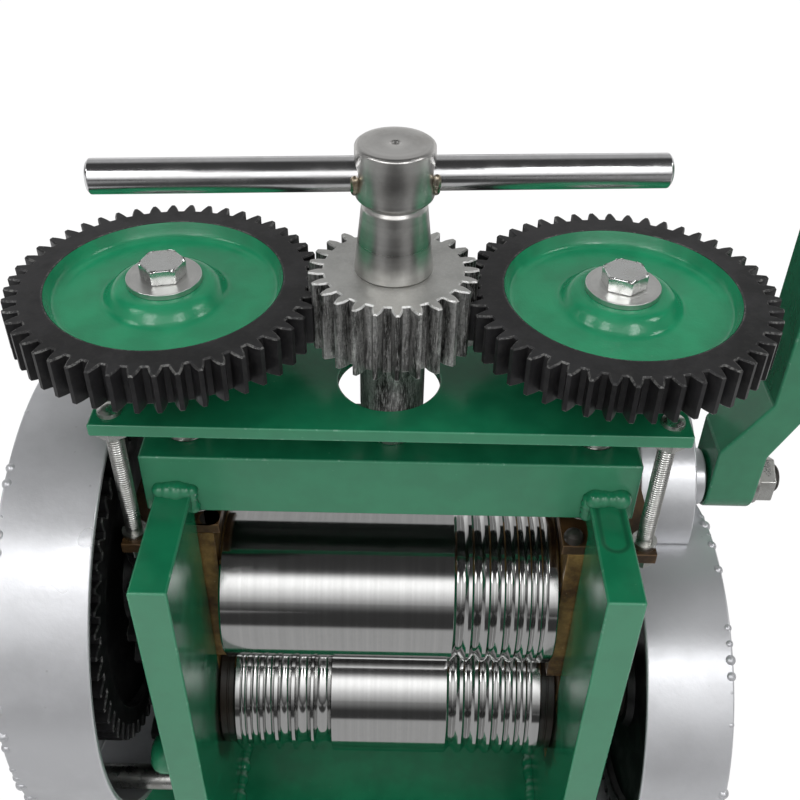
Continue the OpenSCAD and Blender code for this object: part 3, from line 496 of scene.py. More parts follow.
def radial_metal(name, centre, colour, low_rough, high_rough, mark_scale=2600.0, strength=0.12, tint=None):
    """Turned metal with rings about a vertical axis."""
    look = Finish(name)
    x, y, z = look.split(look.place((centre.x, centre.y, 0.0)))
    along = look.math("ADD", look.length(x, y), look.times(z, 0.83))
    marks = look.group("Turning marks", along=along, scale=mark_scale)
    smudge = look.group("Smudges", vector=look.place(), scale=90.0)
    highlight_and_wear = look.group("Edge wear", vector=look.place(), scale=700.0, amount=0.5)
    base = look.mix(look.ramp(marks["Tone"], 0.25, 0.75), shade(colour, 0.8), shade(colour, 1.1))
    base = look.mix(look.times(smudge["Broad"], 0.3), base, tint or shade(colour, 0.55))
    # painted highlight: a brighter line along every rounded edge
    base = look.mix(look.times(highlight_and_wear["Line"], 0.35), base, EDGE_HIGHLIGHT_BRIGHT)
    rough = look.ramp(marks["Tone"], 0.2, 0.8, low_rough, high_rough)
    look.set(Base_Color=base, Roughness=rough, Metallic=1.0)
    look.bump(marks["Height"], strength, 0.00006)
    return look.material


def plain_metal(name, colour, low_rough, high_rough, stain, stain_share, scale, metallic, bump):
    """Plated or oiled metal with blotches and a painted highlight line on its rounded edges."""
    look = Finish(name)
    place = look.place()
    smudge = look.group("Smudges", vector=place, scale=scale)
    highlight_and_wear = look.group("Edge wear", vector=place, scale=800.0, amount=0.5)
    base = look.mix(look.times(smudge["Broad"], stain_share), colour, stain)
    base = look.mix(look.times(smudge["Fine"], 0.22), base, shade(colour, 1.25))
    # painted highlight: a brighter line along every rounded edge
    base = look.mix(look.times(highlight_and_wear["Line"], 0.4), base, shade(colour, 1.5))
    look.set(Base_Color=base, Roughness=look.ramp(smudge["Broad"], 0.0, 1.0, low_rough, high_rough),
        Metallic=metallic)
    look.bump(look.noise(place, 900.0, 4.0), bump, 0.00012)
    return look.material


def oily_bronze():
    """Cast bronze under brown oil, with golden patches."""
    look = Finish("bronze")
    bronze = tuple(bpy.context.scene.mill_colours.bronze)
    place = look.place()
    smudge = look.group("Smudges", vector=place, scale=55.0)
    spots = look.group("Specks", vector=place, scale=300.0, size=0.1)
    base = look.mix(smudge["Broad"], (0.055, 0.028, 0.012), bronze)
    base = look.mix(look.times(smudge["Fine"], 0.5), base, (0.16, 0.085, 0.02))
    base = look.mix(look.times(spots["Mask"], 0.7), base, (0.6, 0.5, 0.32))
    look.set(Base_Color=base, Roughness=look.ramp(smudge["Fine"], 0.0, 1.0, 0.3, 0.48), Metallic=0.55)
    look.bump(look.noise(place, 420.0, 4.0), 0.3, 0.0003)
    return look.material


def black_grip():
    """Moulded black grip with a fine grain and a flow line along its length."""
    look = Finish("grip")
    place = look.place(scale=(0.35, 1.0, 1.0))
    smudge = look.group("Smudges", vector=place, scale=60.0)
    base = look.mix(smudge["Fine"], (0.022, 0.021, 0.021), (0.034, 0.033, 0.032))
    look.set(Base_Color=base, Roughness=look.ramp(smudge["Broad"], 0.0, 1.0, 0.3, 0.42), IOR=1.5)
    look.bump(look.noise(place, 1100.0, 3.0), 0.18, 0.00015)
    return look.material


def handle_metal():
    """Satin turned steel of the T handle's post, browned a little by the welds."""
    return radial_metal("bright_zinc", Vector((0, 0, 0)), (0.72, 0.71, 0.69), 0.26, 0.38, 1700.0, 0.16,
        (0.30, 0.28, 0.25))


def left_washer_metal():
    """Turned face of the left gear's washer."""
    return radial_metal("washer_left", middle("gear_washer_left"), WASHER_GREY, 0.3, 0.42)


def right_washer_metal():
    """Turned face of the right gear's washer."""
    return radial_metal("washer_right", middle("gear_washer_right"), WASHER_GREY, 0.3, 0.42)


def pinion_grey():
    """Pale scratched faces, and flanks with dark and bright streaks along the axis, picked by how steep the
    surface is.
    """
    look = Finish("grey_pinion")
    place = look.place()
    smudge = look.group("Smudges", vector=place, scale=110.0)
    streaks = look.group("Smudges", vector=look.place(scale=(1.0, 1.0, 0.14)), scale=230.0)
    highlight_and_wear = look.group("Edge wear", vector=place, scale=650.0, amount=0.75)
    flank = look.ramp(look.math("ABSOLUTE", look.facing()[2]), 0.4, 0.8, 1.0, 0.0)
    top = look.mix(look.times(smudge["Broad"], 0.35), (0.52, 0.52, 0.50), (0.30, 0.30, 0.29))
    top = look.mix(look.times(smudge["Fine"], 0.2), top, (0.66, 0.66, 0.64))
    side = look.mix(streaks["Broad"], (0.028, 0.028, 0.026), (0.44, 0.44, 0.43))
    side = look.mix(look.times(streaks["Fine"], 0.75), side, (0.80, 0.80, 0.78))
    side = look.mix(look.times(smudge["Fine"], 0.5), side, (0.03, 0.03, 0.028))
    base = look.mix(flank, top, side)
    base = look.mix(look.times(highlight_and_wear["Nicks"], 0.55), base, (0.85, 0.85, 0.84))
    look.set(Base_Color=base, Roughness=look.ramp(smudge["Fine"], 0.0, 1.0, 0.4, 0.3), Metallic=0.85)
    look.bump(look.math("ADD", smudge["Fine"], streaks["Fine"]), 0.2, 0.00012)
    return look.material


def plate_enamel():
    """Enamel of the left plate, with the painted black reflection of the collars and oil runs by the rolls.
    """
    return green_enamel("plate_enamel", front_sheen=PLATE_FRONT_SHEEN, reflection_and_oil=PLATE_REFLECTION_AND_OIL)


def dimpled_enamel():
    """Enamel of the right plate, with a hollow in the paint beside the beam."""
    place = (middle("side_plate_right").x, DIMPLE_Y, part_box("side_plate_right")[1].z)
    return green_enamel("dimpled_enamel", front_sheen=PLATE_FRONT_SHEEN, reflection_and_oil=PLATE_REFLECTION_AND_OIL, dimple=place)


def beam_enamel():
    """Enamel of the beam, whose underside is painted near black as shade."""
    return green_enamel("beam_enamel", painted_shade_below=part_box("top_beam")[0].z + 0.3 * MM)


def web_enamel():
    """Lumpier enamel in the gears' webs, with painted light: a lighter copy of the frame's green."""
    # painted light: depth 1.1 against the frame's 0.74 makes a lit copy of the same green
    return green_enamel("web_enamel", peel=1.4, depth=1.1)


# Colour, lowest and highest roughness, stain and its share, scale of the blotches, metallic, bump
PLAIN_METALS = {
    "bar_chrome": ((0.74, 0.74, 0.75), 0.17, 0.25, (0.5, 0.49, 0.47), 0.3, 60.0, 1.0, 0.05),
    "zinc": ((0.55, 0.55, 0.53), 0.26, 0.4, (0.25, 0.24, 0.21), 0.4, 160.0, 1.0, 0.15),
    "bolt_zinc": ((0.76, 0.77, 0.76), 0.2, 0.32, (0.5, 0.49, 0.46), 0.3, 160.0, 1.0, 0.06),
    "weld_brown": ((0.60, 0.56, 0.47), 0.25, 0.4, (0.30, 0.22, 0.12), 0.8, 200.0, 1.0, 0.15),
    "yoke_brown": ((0.10, 0.055, 0.022), 0.28, 0.42, (0.02, 0.011, 0.006), 0.8, 70.0, 0.4, 0.15),
    "dark_steel": ((0.045, 0.042, 0.038), 0.3, 0.46, (0.02, 0.014, 0.01), 0.6, 90.0, 0.5, 0.15),
    "collar_black": ((0.012, 0.011, 0.010), 0.12, 0.24, (0.03, 0.014, 0.006), 0.5, 60.0, 0.2, 0.08),
}
FINISH_BUILDERS = {
    "green_enamel": green_enamel,
    "plate_enamel": plate_enamel,
    "dimpled_enamel": dimpled_enamel,
    "beam_enamel": beam_enamel,
    "web_enamel": web_enamel,
    "silver_paint": silver_paint,
    "black_gear": black_gear,
    "roll_steel": roll_steel,
    "bright_zinc": handle_metal,
    "washer_left": left_washer_metal,
    "washer_right": right_washer_metal,
    "grey_pinion": pinion_grey,
    "bronze": oily_bronze,
    "grip": black_grip,
}


def material(name):
    """A finish by name, built the first time it is asked for."""
    known = bpy.data.materials.get(name + FINISH_MARK)
    if known:
        return known
    return plain_metal(name, *PLAIN_METALS[name]) if name in PLAIN_METALS else FINISH_BUILDERS[name]()


# Mesh helpers

BEVEL_ANGLE = 32.0
DOUBLES = 0.001 * MM


def link_object(name, mesh):
    """A mesh becomes an object at the origin."""
    piece = bpy.data.objects.new(name, mesh)
    bpy.context.scene.collection.objects.link(piece)
    return piece


def mesh_from(name, points, faces):
    """A mesh from points and faces, in metres."""
    mesh = bpy.data.meshes.new(name)
    mesh.from_pydata([tuple(p) for p in points], [], faces)
    mesh.validate()
    return mesh


def outward(mesh):
    """Doubles merged and faces turned outwards."""
    shape = bmesh.new()
    shape.from_mesh(mesh)
    bmesh.ops.remove_doubles(shape, verts=shape.verts, dist=DOUBLES)
    bmesh.ops.recalc_face_normals(shape, faces=shape.faces)
    shape.to_mesh(mesh)
    shape.free()


def baked(piece):
    """The piece's mesh becomes a plain one with its modifiers applied."""
    depsgraph = bpy.context.evaluated_depsgraph_get()
    mesh = bpy.data.meshes.new_from_object(piece.evaluated_get(depsgraph), depsgraph=depsgraph)
    piece.modifiers.clear()
    piece.data = mesh
    return mesh


def set_edges(mesh, values):
    """The edge attribute, one value for each vertex."""
    attribute = mesh.attributes.get("edge") or mesh.attributes.new("edge", "FLOAT", "POINT")
    attribute.data.foreach_set("value", values)


def plain_edges(mesh):
    """No painted edge highlight and no worn nicks on a mesh's edges."""
    set_edges(mesh, [0.0] * len(mesh.vertices))


def corner_edges(mesh, start, full):
    """The edge attribute from how sharply the faces at each vertex turn."""
    shape = bmesh.new()
    shape.from_mesh(mesh)
    values = []
    for vertex in shape.verts:
        turn = 0.0
        for edge in vertex.link_edges:
            if len(edge.link_faces) == 2:
                turn = max(turn, math.degrees(edge.calc_face_angle(0.0)))
        values.append(min(1.0, max(0.0, (turn - start) / (full - start))))
    shape.free()
    set_edges(mesh, values)


def smooth(mesh, angle):
    """Smooth shading with sharp edges kept."""
    mesh.shade_smooth()
    mesh.set_sharp_from_angle(angle=math.radians(angle))


def finish(piece, body, finish_name, slot, *nodes):
    """A piece gets its finish, rides on its body and stands for its nodes."""
    piece.data.materials.clear()
    piece.data.materials.append(material(finish_name))
    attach(piece, body)
    if nodes:
        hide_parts(*nodes)
    return piece


def merged_copy(node):
    """A node's mesh with its triangles joined into flat faces."""
    shape = bmesh.new()
    shape.from_mesh(NODES[node].data)
    bmesh.ops.remove_doubles(shape, verts=shape.verts, dist=MM * 0.004)
    bmesh.ops.dissolve_limit(shape, angle_limit=math.radians(0.6), verts=shape.verts, edges=shape.edges)
    mesh = bpy.data.meshes.new(node + "_dressed")
    shape.to_mesh(mesh)
    shape.free()
    for name in [a.name for a in mesh.attributes if a.name.startswith(("UVMap", "custom", "sharp"))]:
        mesh.attributes.remove(mesh.attributes[name])
    return mesh


def rounded(piece, width, segments):
    """Edges rounded with a bevel, whose middle lines become the edge attribute."""
    mesh = piece.data
    mesh.materials.clear()
    for _ in range(2):
        mesh.materials.append(None)
    mesh.shade_smooth()
    bevel = piece.modifiers.new("Rounding", "BEVEL")
    bevel.width = width
    bevel.segments = segments
    bevel.limit_method = "ANGLE"
    bevel.angle_limit = math.radians(BEVEL_ANGLE)
    bevel.use_clamp_overlap = False
    bevel.harden_normals = True
    bevel.material = 1
    bevel.miter_outer = "MITER_ARC"
    mesh = baked(piece)
    flat = [False] * len(mesh.vertices)
    for face in mesh.polygons:
        if face.material_index != 1:
            for index in face.vertices:
                flat[index] = True
    set_edges(mesh, [0.0 if f else 1.0 for f in flat])
    mesh.polygons.foreach_set("material_index", [0] * len(mesh.polygons))


def dressed(node, finish_name, width, segments=3):
    """A node's shape with rounded edges stands for the node."""
    piece = link_object(node + "_finish", merged_copy(node))
    rounded(piece, width, segments)
    return finish(piece, BODY_OF[node], finish_name, SLOT_OF[node], node)


def lathe(name, profile, axis="Z", centre=(0.0, 0.0, 0.0), segments=96, closed=False):
    """A profile of (along, radius) points spun about the X or Z axis through the centre."""
    points, faces, rings = [], [], []
    for along, radius in profile:
        if radius < 1e-7:
            rings.append([len(points)])
            points.append((0.0, 0.0, along))
            continue
        rings.append(list(range(len(points), len(points) + segments)))
        for step in range(segments):
            angle = 2 * math.pi * step / segments
            points.append((radius * math.cos(angle), radius * math.sin(angle), along))
    pairs = list(zip(rings, rings[1:])) + ([(rings[-1], rings[0])] if closed else [])
    for lower, upper in pairs:
        for step in range(segments):
            after = (step + 1) % segments
            corners = [lower[step % len(lower)], lower[after % len(lower)],
                upper[after % len(upper)], upper[step % len(upper)]]
            face = list(dict.fromkeys(corners))
            if len(face) > 2:
                faces.append(face)
    mesh = mesh_from(name, points, faces)
    turn = Matrix() if axis == "Z" else Matrix.Rotation(math.radians(90), 4, "Y")
    mesh.transform(Matrix.Translation(centre) @ turn)
    outward(mesh)
    return mesh


def rounded_profile(points, radius, steps=3):
    """A profile whose inner corners are cut by small arcs."""
    result = [points[0]]
    for before, corner, after in zip(points, points[1:], points[2:]):
        a, b, c = Vector(before), Vector(corner), Vector(after)
        reach = min(radius, (a - b).length * 0.45, (c - b).length * 0.45)
        start = b + (a - b).normalized() * reach
        end = b + (c - b).normalized() * reach
        for step in range(steps + 1):
            t = step / steps
            result.append(tuple(start * (1 - t) ** 2 + b * 2 * t * (1 - t) + end * t ** 2))
    result.append(points[-1])
    return result


def turned_piece(name, profile, axis, centre, radius=0.0, segments=96, closed=False, angle=30.0):
    """A lathe piece with softened corners, sharp edges and its edge attribute."""
    points = [(a, r) for a, r in (rounded_profile(profile, radius) if radius else profile)]
    mesh = lathe(name, points, axis, centre, segments, closed)
    corner_edges(mesh, 12.0, 40.0)
    smooth(mesh, angle)
    return link_object(name, mesh)


# Geometry node trees

def new_tree(name, inputs):
    """A geometry tree with a geometry socket at each end and named inputs."""
    tree = bpy.data.node_groups.new(name, "GeometryNodeTree")
    tree.interface.new_socket(name="Geometry", in_out="INPUT", socket_type="NodeSocketGeometry")
    for label, kind, default in inputs:
        socket = tree.interface.new_socket(name=label, in_out="INPUT", socket_type="NodeSocket" + kind)
        if default is not None:
            socket.default_value = default
    tree.interface.new_socket(name="Geometry", in_out="OUTPUT", socket_type="NodeSocketGeometry")
    return tree


def painted_end(wires, source, ends, out):
    """The finish is set and the tree ends."""
    paint = wires.after(source, "GeometryNodeSetMaterial", "Geometry")
    wires.link(ends["Finish"], paint.inputs["Material"])
    wires.link(paint.outputs[0], out["Geometry"])


def ring_tree():
    """Copies of one sector round the vertical axis."""
    tree = new_tree("Ring of copies", [("Count", "Int", 12), ("Merge distance", "Float", 1e-5),
        ("Finish", "Material", None)])
    wires, ends, out = group_wires(tree)
    points = wires.after(ends["Count"], "GeometryNodePoints", "Count")
    index = wires.add("GeometryNodeInputIndex").outputs[0]
    turn = wires.math("DIVIDE", wires.times(index, 2 * math.pi), ends["Count"])
    angles = wires.after(turn, "ShaderNodeCombineXYZ", 2)
    copies = wires.after(points.outputs[0], "GeometryNodeInstanceOnPoints", "Points")
    wires.link(ends["Geometry"], copies.inputs["Instance"])
    wires.link(angles.outputs[0], copies.inputs["Rotation"])
    real = wires.after(copies.outputs[0], "GeometryNodeRealizeInstances")
    merge = wires.after(real.outputs[0], "GeometryNodeMergeByDistance", "Geometry")
    wires.link(ends["Merge distance"], merge.inputs["Distance"])
    painted_end(wires, merge.outputs[0], ends, out)
    return tree


def thread_tree():
    """A smooth rod becomes a screw thread between two heights."""
    tree = new_tree("Screw thread", [("Pitch", "Float", 0.001), ("Depth", "Float", 0.0005),
        ("Radius", "Float", 0.003), ("Bottom", "Float", 0.0), ("Top", "Float", 0.1),
        ("Finish", "Material", None)])
    wires, ends, out = group_wires(tree)
    x, y, z = wires.split(wires.add("GeometryNodeInputPosition").outputs[0])
    angle = wires.math("DIVIDE", wires.math("ARCTAN2", y, x), 2 * math.pi)
    phase = wires.math("SUBTRACT", wires.math("DIVIDE", z, ends["Pitch"]), angle)
    wave = wires.math("PINGPONG", phase, 0.5)
    groove = wires.ramp(wave, 0.08, 0.42)
    begin = wires.ramp(z, ends["Bottom"], wires.math("ADD", ends["Bottom"], ends["Pitch"]))
    finish_off = wires.ramp(z, wires.math("SUBTRACT", ends["Top"], ends["Pitch"]), ends["Top"], 1.0, 0.0)
    cut = wires.times(wires.math("DIVIDE", ends["Depth"], ends["Radius"]),
        wires.times(groove, wires.times(begin, finish_off)))
    keep = wires.math("SUBTRACT", 1.0, cut)
    moved = wires.after(wires.times(x, keep), "ShaderNodeCombineXYZ")
    wires.link(wires.times(y, keep), moved.inputs[1])
    wires.link(z, moved.inputs[2])
    shift = wires.after(ends["Geometry"], "GeometryNodeSetPosition", "Geometry")
    wires.link(moved.outputs[0], shift.inputs["Position"])
    real = wires.after(shift.outputs[0], "GeometryNodeRealizeInstances")
    painted_end(wires, real.outputs[0], ends, out)
    return tree


def bead_tree():
    """Drops of weld along a path, of uneven size."""
    tree = new_tree("Weld bead", [("Drop radius", "Float", 0.0025), ("Spacing", "Float", 0.0022),
        ("Unevenness", "Float", 0.25), ("Seed", "Int", 3), ("Finish", "Material", None)])
    wires, ends, out = group_wires(tree)
    curve = wires.after(ends["Geometry"], "GeometryNodeMeshToCurve")
    spaced = wires.after(curve.outputs[0], "GeometryNodeResampleCurve", "Curve", mode="LENGTH")
    wires.link(ends["Spacing"], spaced.inputs["Length"])
    drop = wires.after(ends["Drop radius"], "GeometryNodeMeshIcoSphere", "Radius")
    drop.inputs["Subdivisions"].default_value = 3
    size = wires.add("FunctionNodeRandomValue", data_type="FLOAT")
    wires.link(wires.math("SUBTRACT", 1.0, ends["Unevenness"]), size.inputs[2])
    wires.link(wires.math("ADD", 1.0, ends["Unevenness"]), size.inputs[3])
    wires.link(ends["Seed"], size.inputs["Seed"])
    drops = wires.after(spaced.outputs[0], "GeometryNodeInstanceOnPoints", "Points")
    wires.link(drop.outputs[0], drops.inputs["Instance"])
    wires.link(size.outputs[1], drops.inputs["Scale"])
    real = wires.after(drops.outputs[0], "GeometryNodeRealizeInstances")
    painted_end(wires, real.outputs[0], ends, out)
    return tree


TREE_BUILDERS = {"Ring of copies": ring_tree, "Screw thread": thread_tree, "Weld bead": bead_tree}


def grow(piece, tree_name, **values):
    """A geometry tree is run on a piece and its result kept as a plain mesh."""
    tree = bpy.data.node_groups.get(tree_name) or TREE_BUILDERS[tree_name]()
    modifier = piece.modifiers.new(tree_name, "NODES")
    modifier.node_group = tree
    sockets = {s.name: s.identifier for s in tree.interface.items_tree if s.in_out == "INPUT"}
    for key, value in values.items():
        modifier[sockets[key.replace("_", " ").capitalize()]] = value
    return baked(piece)


# Gears

PRESSURE_ANGLE = math.radians(20)
# Play and tip height of fine teeth
FINE_LASH = 0.15 * MM
FINE_TIP = 1.0
FLANK_STEPS = (0.0, 0.12, 0.3, 0.5, 0.75, 1.0)
TIP_CHAMFER = 0.45 * MM
EDGE_BAND = 0.3 * MM


def involute(angle):
    return math.tan(angle) - angle


def tooth_half_angle(radius, teeth, module, lash):
    """Half the angle that a tooth takes up at a radius."""
    pitch = teeth * module / 2
    base = pitch * math.cos(PRESSURE_ANGLE)
    half = math.pi / 2 / teeth - lash / 2 / pitch + involute(PRESSURE_ANGLE)
    return half - (involute(math.acos(base / radius)) if radius > base else 0.0)


def tooth_outline(teeth, module, lash, tip):
    """Points (radius, angle) of one pitch, from the middle of one gap to the next."""
    pitch = teeth * module / 2
    root = pitch - 1.25 * module
    outer = pitch + tip * module
    step = math.pi / teeth
    flank = [(root + (outer - root) * t, -tooth_half_angle(root + (outer - root) * t, teeth, module, lash))
        for t in FLANK_STEPS]
    gap = (root, (flank[0][1] - step) / 2)
    side = [(root, -step), gap] + flank
    mirrored = [(r, -a) for r, a in reversed(side)]
    return side + [(outer, 0.0)] + mirrored


def gear_sector(teeth, module, lash, tip, inner, low, high):
    """One pitch of a toothed ring, with chamfered teeth; ring faces from the inner radius outwards."""
    outline = tooth_outline(teeth, module, lash, tip)
    flat = [Vector((r * math.cos(a), r * math.sin(a))) for r, a in outline]
    normals = []
    for i in range(len(flat)):
        before = flat[i - 1] if i else flat[-2] @ Matrix.Rotation(2 * math.pi / teeth, 2)
        after = flat[i + 1] if i + 1 < len(flat) else flat[1] @ Matrix.Rotation(-2 * math.pi / teeth, 2)
        along = (after - before).normalized()
        normals.append(Vector((along.y, -along.x)))
    rows = [("inner", 0.0, low + EDGE_BAND, 0.0), ("inner", 0.0, high - EDGE_BAND, 0.0),
        ("inner", EDGE_BAND, high, 1.0), ("inner", 3 * EDGE_BAND, high, 0.0),
        ("outer", TIP_CHAMFER + EDGE_BAND, high, 0.0), ("outer", TIP_CHAMFER, high, 1.0),
        ("outer", 0.0, high - TIP_CHAMFER, 1.0), ("outer", 0.0, high - TIP_CHAMFER - EDGE_BAND, 0.0),
        ("outer", 0.0, low + TIP_CHAMFER + EDGE_BAND, 0.0), ("outer", 0.0, low + TIP_CHAMFER, 1.0),
        ("outer", TIP_CHAMFER, low, 1.0), ("outer", TIP_CHAMFER + EDGE_BAND, low, 0.0),
        ("inner", 3 * EDGE_BAND, low, 0.0), ("inner", EDGE_BAND, low, 1.0)]
    points, edges = [], []
    for kind, inset, height, edge in rows:
        for point, normal, (_, angle) in zip(flat, normals, outline):
            if kind == "inner":
                reach = inner + inset
                points.append((reach * math.cos(angle), reach * math.sin(angle), height))
            else:
                shifted = point - normal * inset
                points.append((shifted.x, shifted.y, height))
            edges.append(edge)
    width = len(flat)
    faces = []
    for row in range(len(rows)):
        after = (row + 1) % len(rows)
        for i in range(width - 1):
            faces.append((row * width + i, row * width + i + 1, after * width + i + 1, after * width + i))
    return points, faces, edges


def toothed_ring(name, teeth, module, lash, tip, inner, low, high, finish_name):
    """A whole toothed ring about the vertical axis."""
    points, faces, edges = gear_sector(teeth, module, lash, tip, inner, low, high)
    mesh = mesh_from(name, points, faces)
    set_edges(mesh, edges)
    piece = link_object(name, mesh)
    grow(piece, "Ring of copies", count=teeth, merge_distance=MM * 0.002, finish=material(finish_name))
    shape = bmesh.new()
    shape.from_mesh(piece.data)
    bmesh.ops.recalc_face_normals(shape, faces=shape.faces)
    shape.to_mesh(piece.data)
    shape.free()
    smooth(piece.data, 28.0)
    return piece


def join_meshes(piece, *others):
    """Other meshes are added to a piece's mesh."""
    shape = bmesh.new()
    shape.from_mesh(piece.data)
    for other in others:
        shape.from_mesh(other)
    shape.to_mesh(piece.data)
    shape.free()
    smooth(piece.data, 28.0)


def joined(pieces, name):
    """Pieces become one, under one name."""
    first, others = pieces[0], pieces[1:]
    join_meshes(first, *[other.data for other in others])
    for other in others:
        bpy.data.objects.remove(other)
    first.name = name
    return first


# Pieces

class MillOperator(Operator):
    """Base of the operators that build pieces."""

    bl_options = {"REGISTER", "UNDO"}

    def sizes(self):
        return bpy.context.scene.mill_sizes


class MILL_OT_frame(MillOperator):
    """Side plates, floor plate and top beam in thick enamel"""

    bl_idname = "mill.frame"
    bl_label = "Frame"

    def execute(self, context):
        edge = self.sizes().enamel_edge
        dressed("side_plate_left", "plate_enamel", edge, 4)
        dressed("side_plate_right", "dimpled_enamel", edge, 4)
        dressed("top_beam", "beam_enamel", edge, 4)
        dressed("base_plate", "green_enamel", edge * 1.3, 4)
        dressed("lift_plate", "green_enamel", edge * 0.8, 3)
        dressed("plate_plug", "green_enamel", edge * 0.5, 3)
        return {"FINISHED"}


def bead_piece(name, path, radius, spacing, seed, unevenness, finish_name, voxel=0.45 * MM, closed=False):
    """A lumpy weld bead along a path, melted into one skin."""
    edges = [(i, i + 1) for i in range(len(path) - 1)] + ([(len(path) - 1, 0)] if closed else [])
    mesh = bpy.data.meshes.new(name)
    mesh.from_pydata([tuple(p) for p in path], edges, [])
    piece = link_object(name, mesh)
    grow(piece, "Weld bead", drop_radius=radius, spacing=spacing, unevenness=unevenness, seed=seed,
        finish=material(finish_name))
    melt = piece.modifiers.new("Melt", "REMESH")
    melt.mode = "VOXEL"
    melt.voxel_size = voxel
    settle = piece.modifiers.new("Settle", "SMOOTH")
    settle.factor = 0.6
    settle.iterations = 5
    baked(piece)
    piece.data.shade_smooth()
    plain_edges(piece.data)
    return piece


class MILL_OT_welds(MillOperator):
    """Painted weld beads between the plates, the beam and the floor plate"""

    bl_idname = "mill.welds"
    bl_label = "Frame welds"

    def execute(self, context):
        size = self.sizes().bead_size
        beads = []
        beam_low, beam_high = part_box("top_beam")
        floor_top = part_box("base_plate")[1].z
        for side, node in ((-1, "side_plate_left"), (1, "side_plate_right")):
            low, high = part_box(node)
            top = high.z
            inner = high.x if side < 0 else low.x
            outer = low.x if side < 0 else high.x
            for end in (-1, 1):
                y = end * beam_high.y
                across = [(low.x + 2 * MM, y + end * size * 0.3, top + size * 0.45),
                    (high.x - 2 * MM, y + end * size * 0.3, top + size * 0.45)]
                down = [(inner, y + end * size * 0.2, top + size * 0.4),
                    (inner, y + end * size * 0.2, beam_low.z + 3 * MM)]
                beads.append(bead_piece("bead_across", across, size * 1.35, size * 1.1, 5 + end + side * 2,
                    0.3, "green_enamel"))
                beads.append(bead_piece("bead_down", down, size * 0.9, size * 1.0, 9 + end + side * 2,
                    0.3, "green_enamel"))
            reach = high.y - 5 * MM
            for x, lean in ((inner, -side), (outer, side)):
                run = [(x + lean * size * 0.2, -reach, floor_top + size * 0.15),
                    (x + lean * size * 0.2, reach, floor_top + size * 0.15)]
                beads.append(bead_piece("bead_floor", run, size * 1.2, size * 0.9, 14 + side,
                    0.2, "green_enamel"))
        piece = joined(beads, "frame_welds_finish")
        piece.data.shade_smooth()
        finish(piece, "frame", "green_enamel", "green_enamel", "frame_welds")
        return {"FINISHED"}


class MILL_OT_bearings(MillOperator):
    """Bronze blocks, yokes, pads and bolts that carry the rolls"""

    bl_idname = "mill.bearings"
    bl_label = "Bearings and yokes"

    def execute(self, context):
        edge = self.sizes().metal_edge
        for level in ("lower", "upper"):
            for side in ("left", "right"):
                dressed(level + "_bearing_" + side, "bronze", edge * 1.6)
        for node in ("yoke_left", "yoke_right"):
            dressed(node, "yoke_brown", edge * 1.4)
        for node in ("bearing_bolts", "thrust_pads", "stud_nuts", "plate_bush", "cover_bush"):
            dressed(node, SLOT_OF[node], edge * 0.7, 2)
        return {"FINISHED"}


def rod_mesh(name, profile, segments, step):
    """A rod about a vertical line, cut into short rings for a thread."""
    dense = [profile[0]]
    for (z0, r0), (z1, r1) in zip(profile, profile[1:]):
        count = max(1, round(abs(z1 - z0) / step)) if r0 > 0 and r1 > 0 else 1
        for i in range(1, count + 1):
            dense.append((z0 + (z1 - z0) * i / count, r0 + (r1 - r0) * i / count))
    return lathe(name, dense, "Z", (0.0, 0.0, 0.0), segments)


def threaded_rod(name, centre, profile, pitch, depth, bottom, top, finish_name, segments=28):
    """A rod whose middle stretch carries a real helix."""
    piece = link_object(name, rod_mesh(name, profile, segments, pitch / 6))
    radius = max(r for _, r in profile)
    grow(piece, "Screw thread", pitch=pitch, depth=depth, radius=radius, bottom=bottom, top=top,
        finish=material(finish_name))
    piece.data.transform(Matrix.Translation((centre[0], centre[1], 0.0)))
    corner_edges(piece.data, 40.0, 80.0)
    smooth(piece.data, 50.0)
    return piece


STUD_RADIUS = 3 * MM
STUD_COLLAR = 1.5 * MM
STUD_THREAD = 0.55 * MM
SCREW_THREAD = 0.95 * MM


class MILL_OT_studs(MillOperator):
    """Four threaded studs that carry the upper roll"""

    bl_idname = "mill.studs"
    bl_label = "Lifting studs"

    def execute(self, context):
        low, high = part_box("lift_studs")
        plate_low, plate_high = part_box("lift_plate")
        yoke_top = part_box("yoke_left")[1].z
        radius = STUD_RADIUS
        collar = radius + STUD_COLLAR
        xs, ys = high.x - collar, high.y - collar
        pitch = self.sizes().stud_pitch
        profile = [(low.z, 0.0), (low.z, radius - 0.6 * MM), (low.z + 0.6 * MM, radius), (yoke_top, radius),
            (yoke_top, collar), (yoke_top + 2 * MM, collar), (yoke_top + 2 * MM, radius),
            (plate_high.z, radius), (plate_high.z, radius + 1.1 * MM),
            (plate_high.z + 1.3 * MM, radius + 0.8 * MM), (high.z - 0.2 * MM, radius - 0.6 * MM),
            (high.z, radius * 0.4), (high.z, 0.0)]
        rods = [threaded_rod("stud", place, profile, pitch, STUD_THREAD, yoke_top + 4 * MM,
            plate_low.z - 0.5 * MM, "zinc") for place in ((-xs, -ys), (-xs, ys), (xs, -ys), (xs, ys))]
        piece = joined(rods, "lift_studs_finish")
        smooth(piece.data, 50.0)
        finish(piece, "carriage", "zinc", "zinc", "lift_studs")
        return {"FINISHED"}


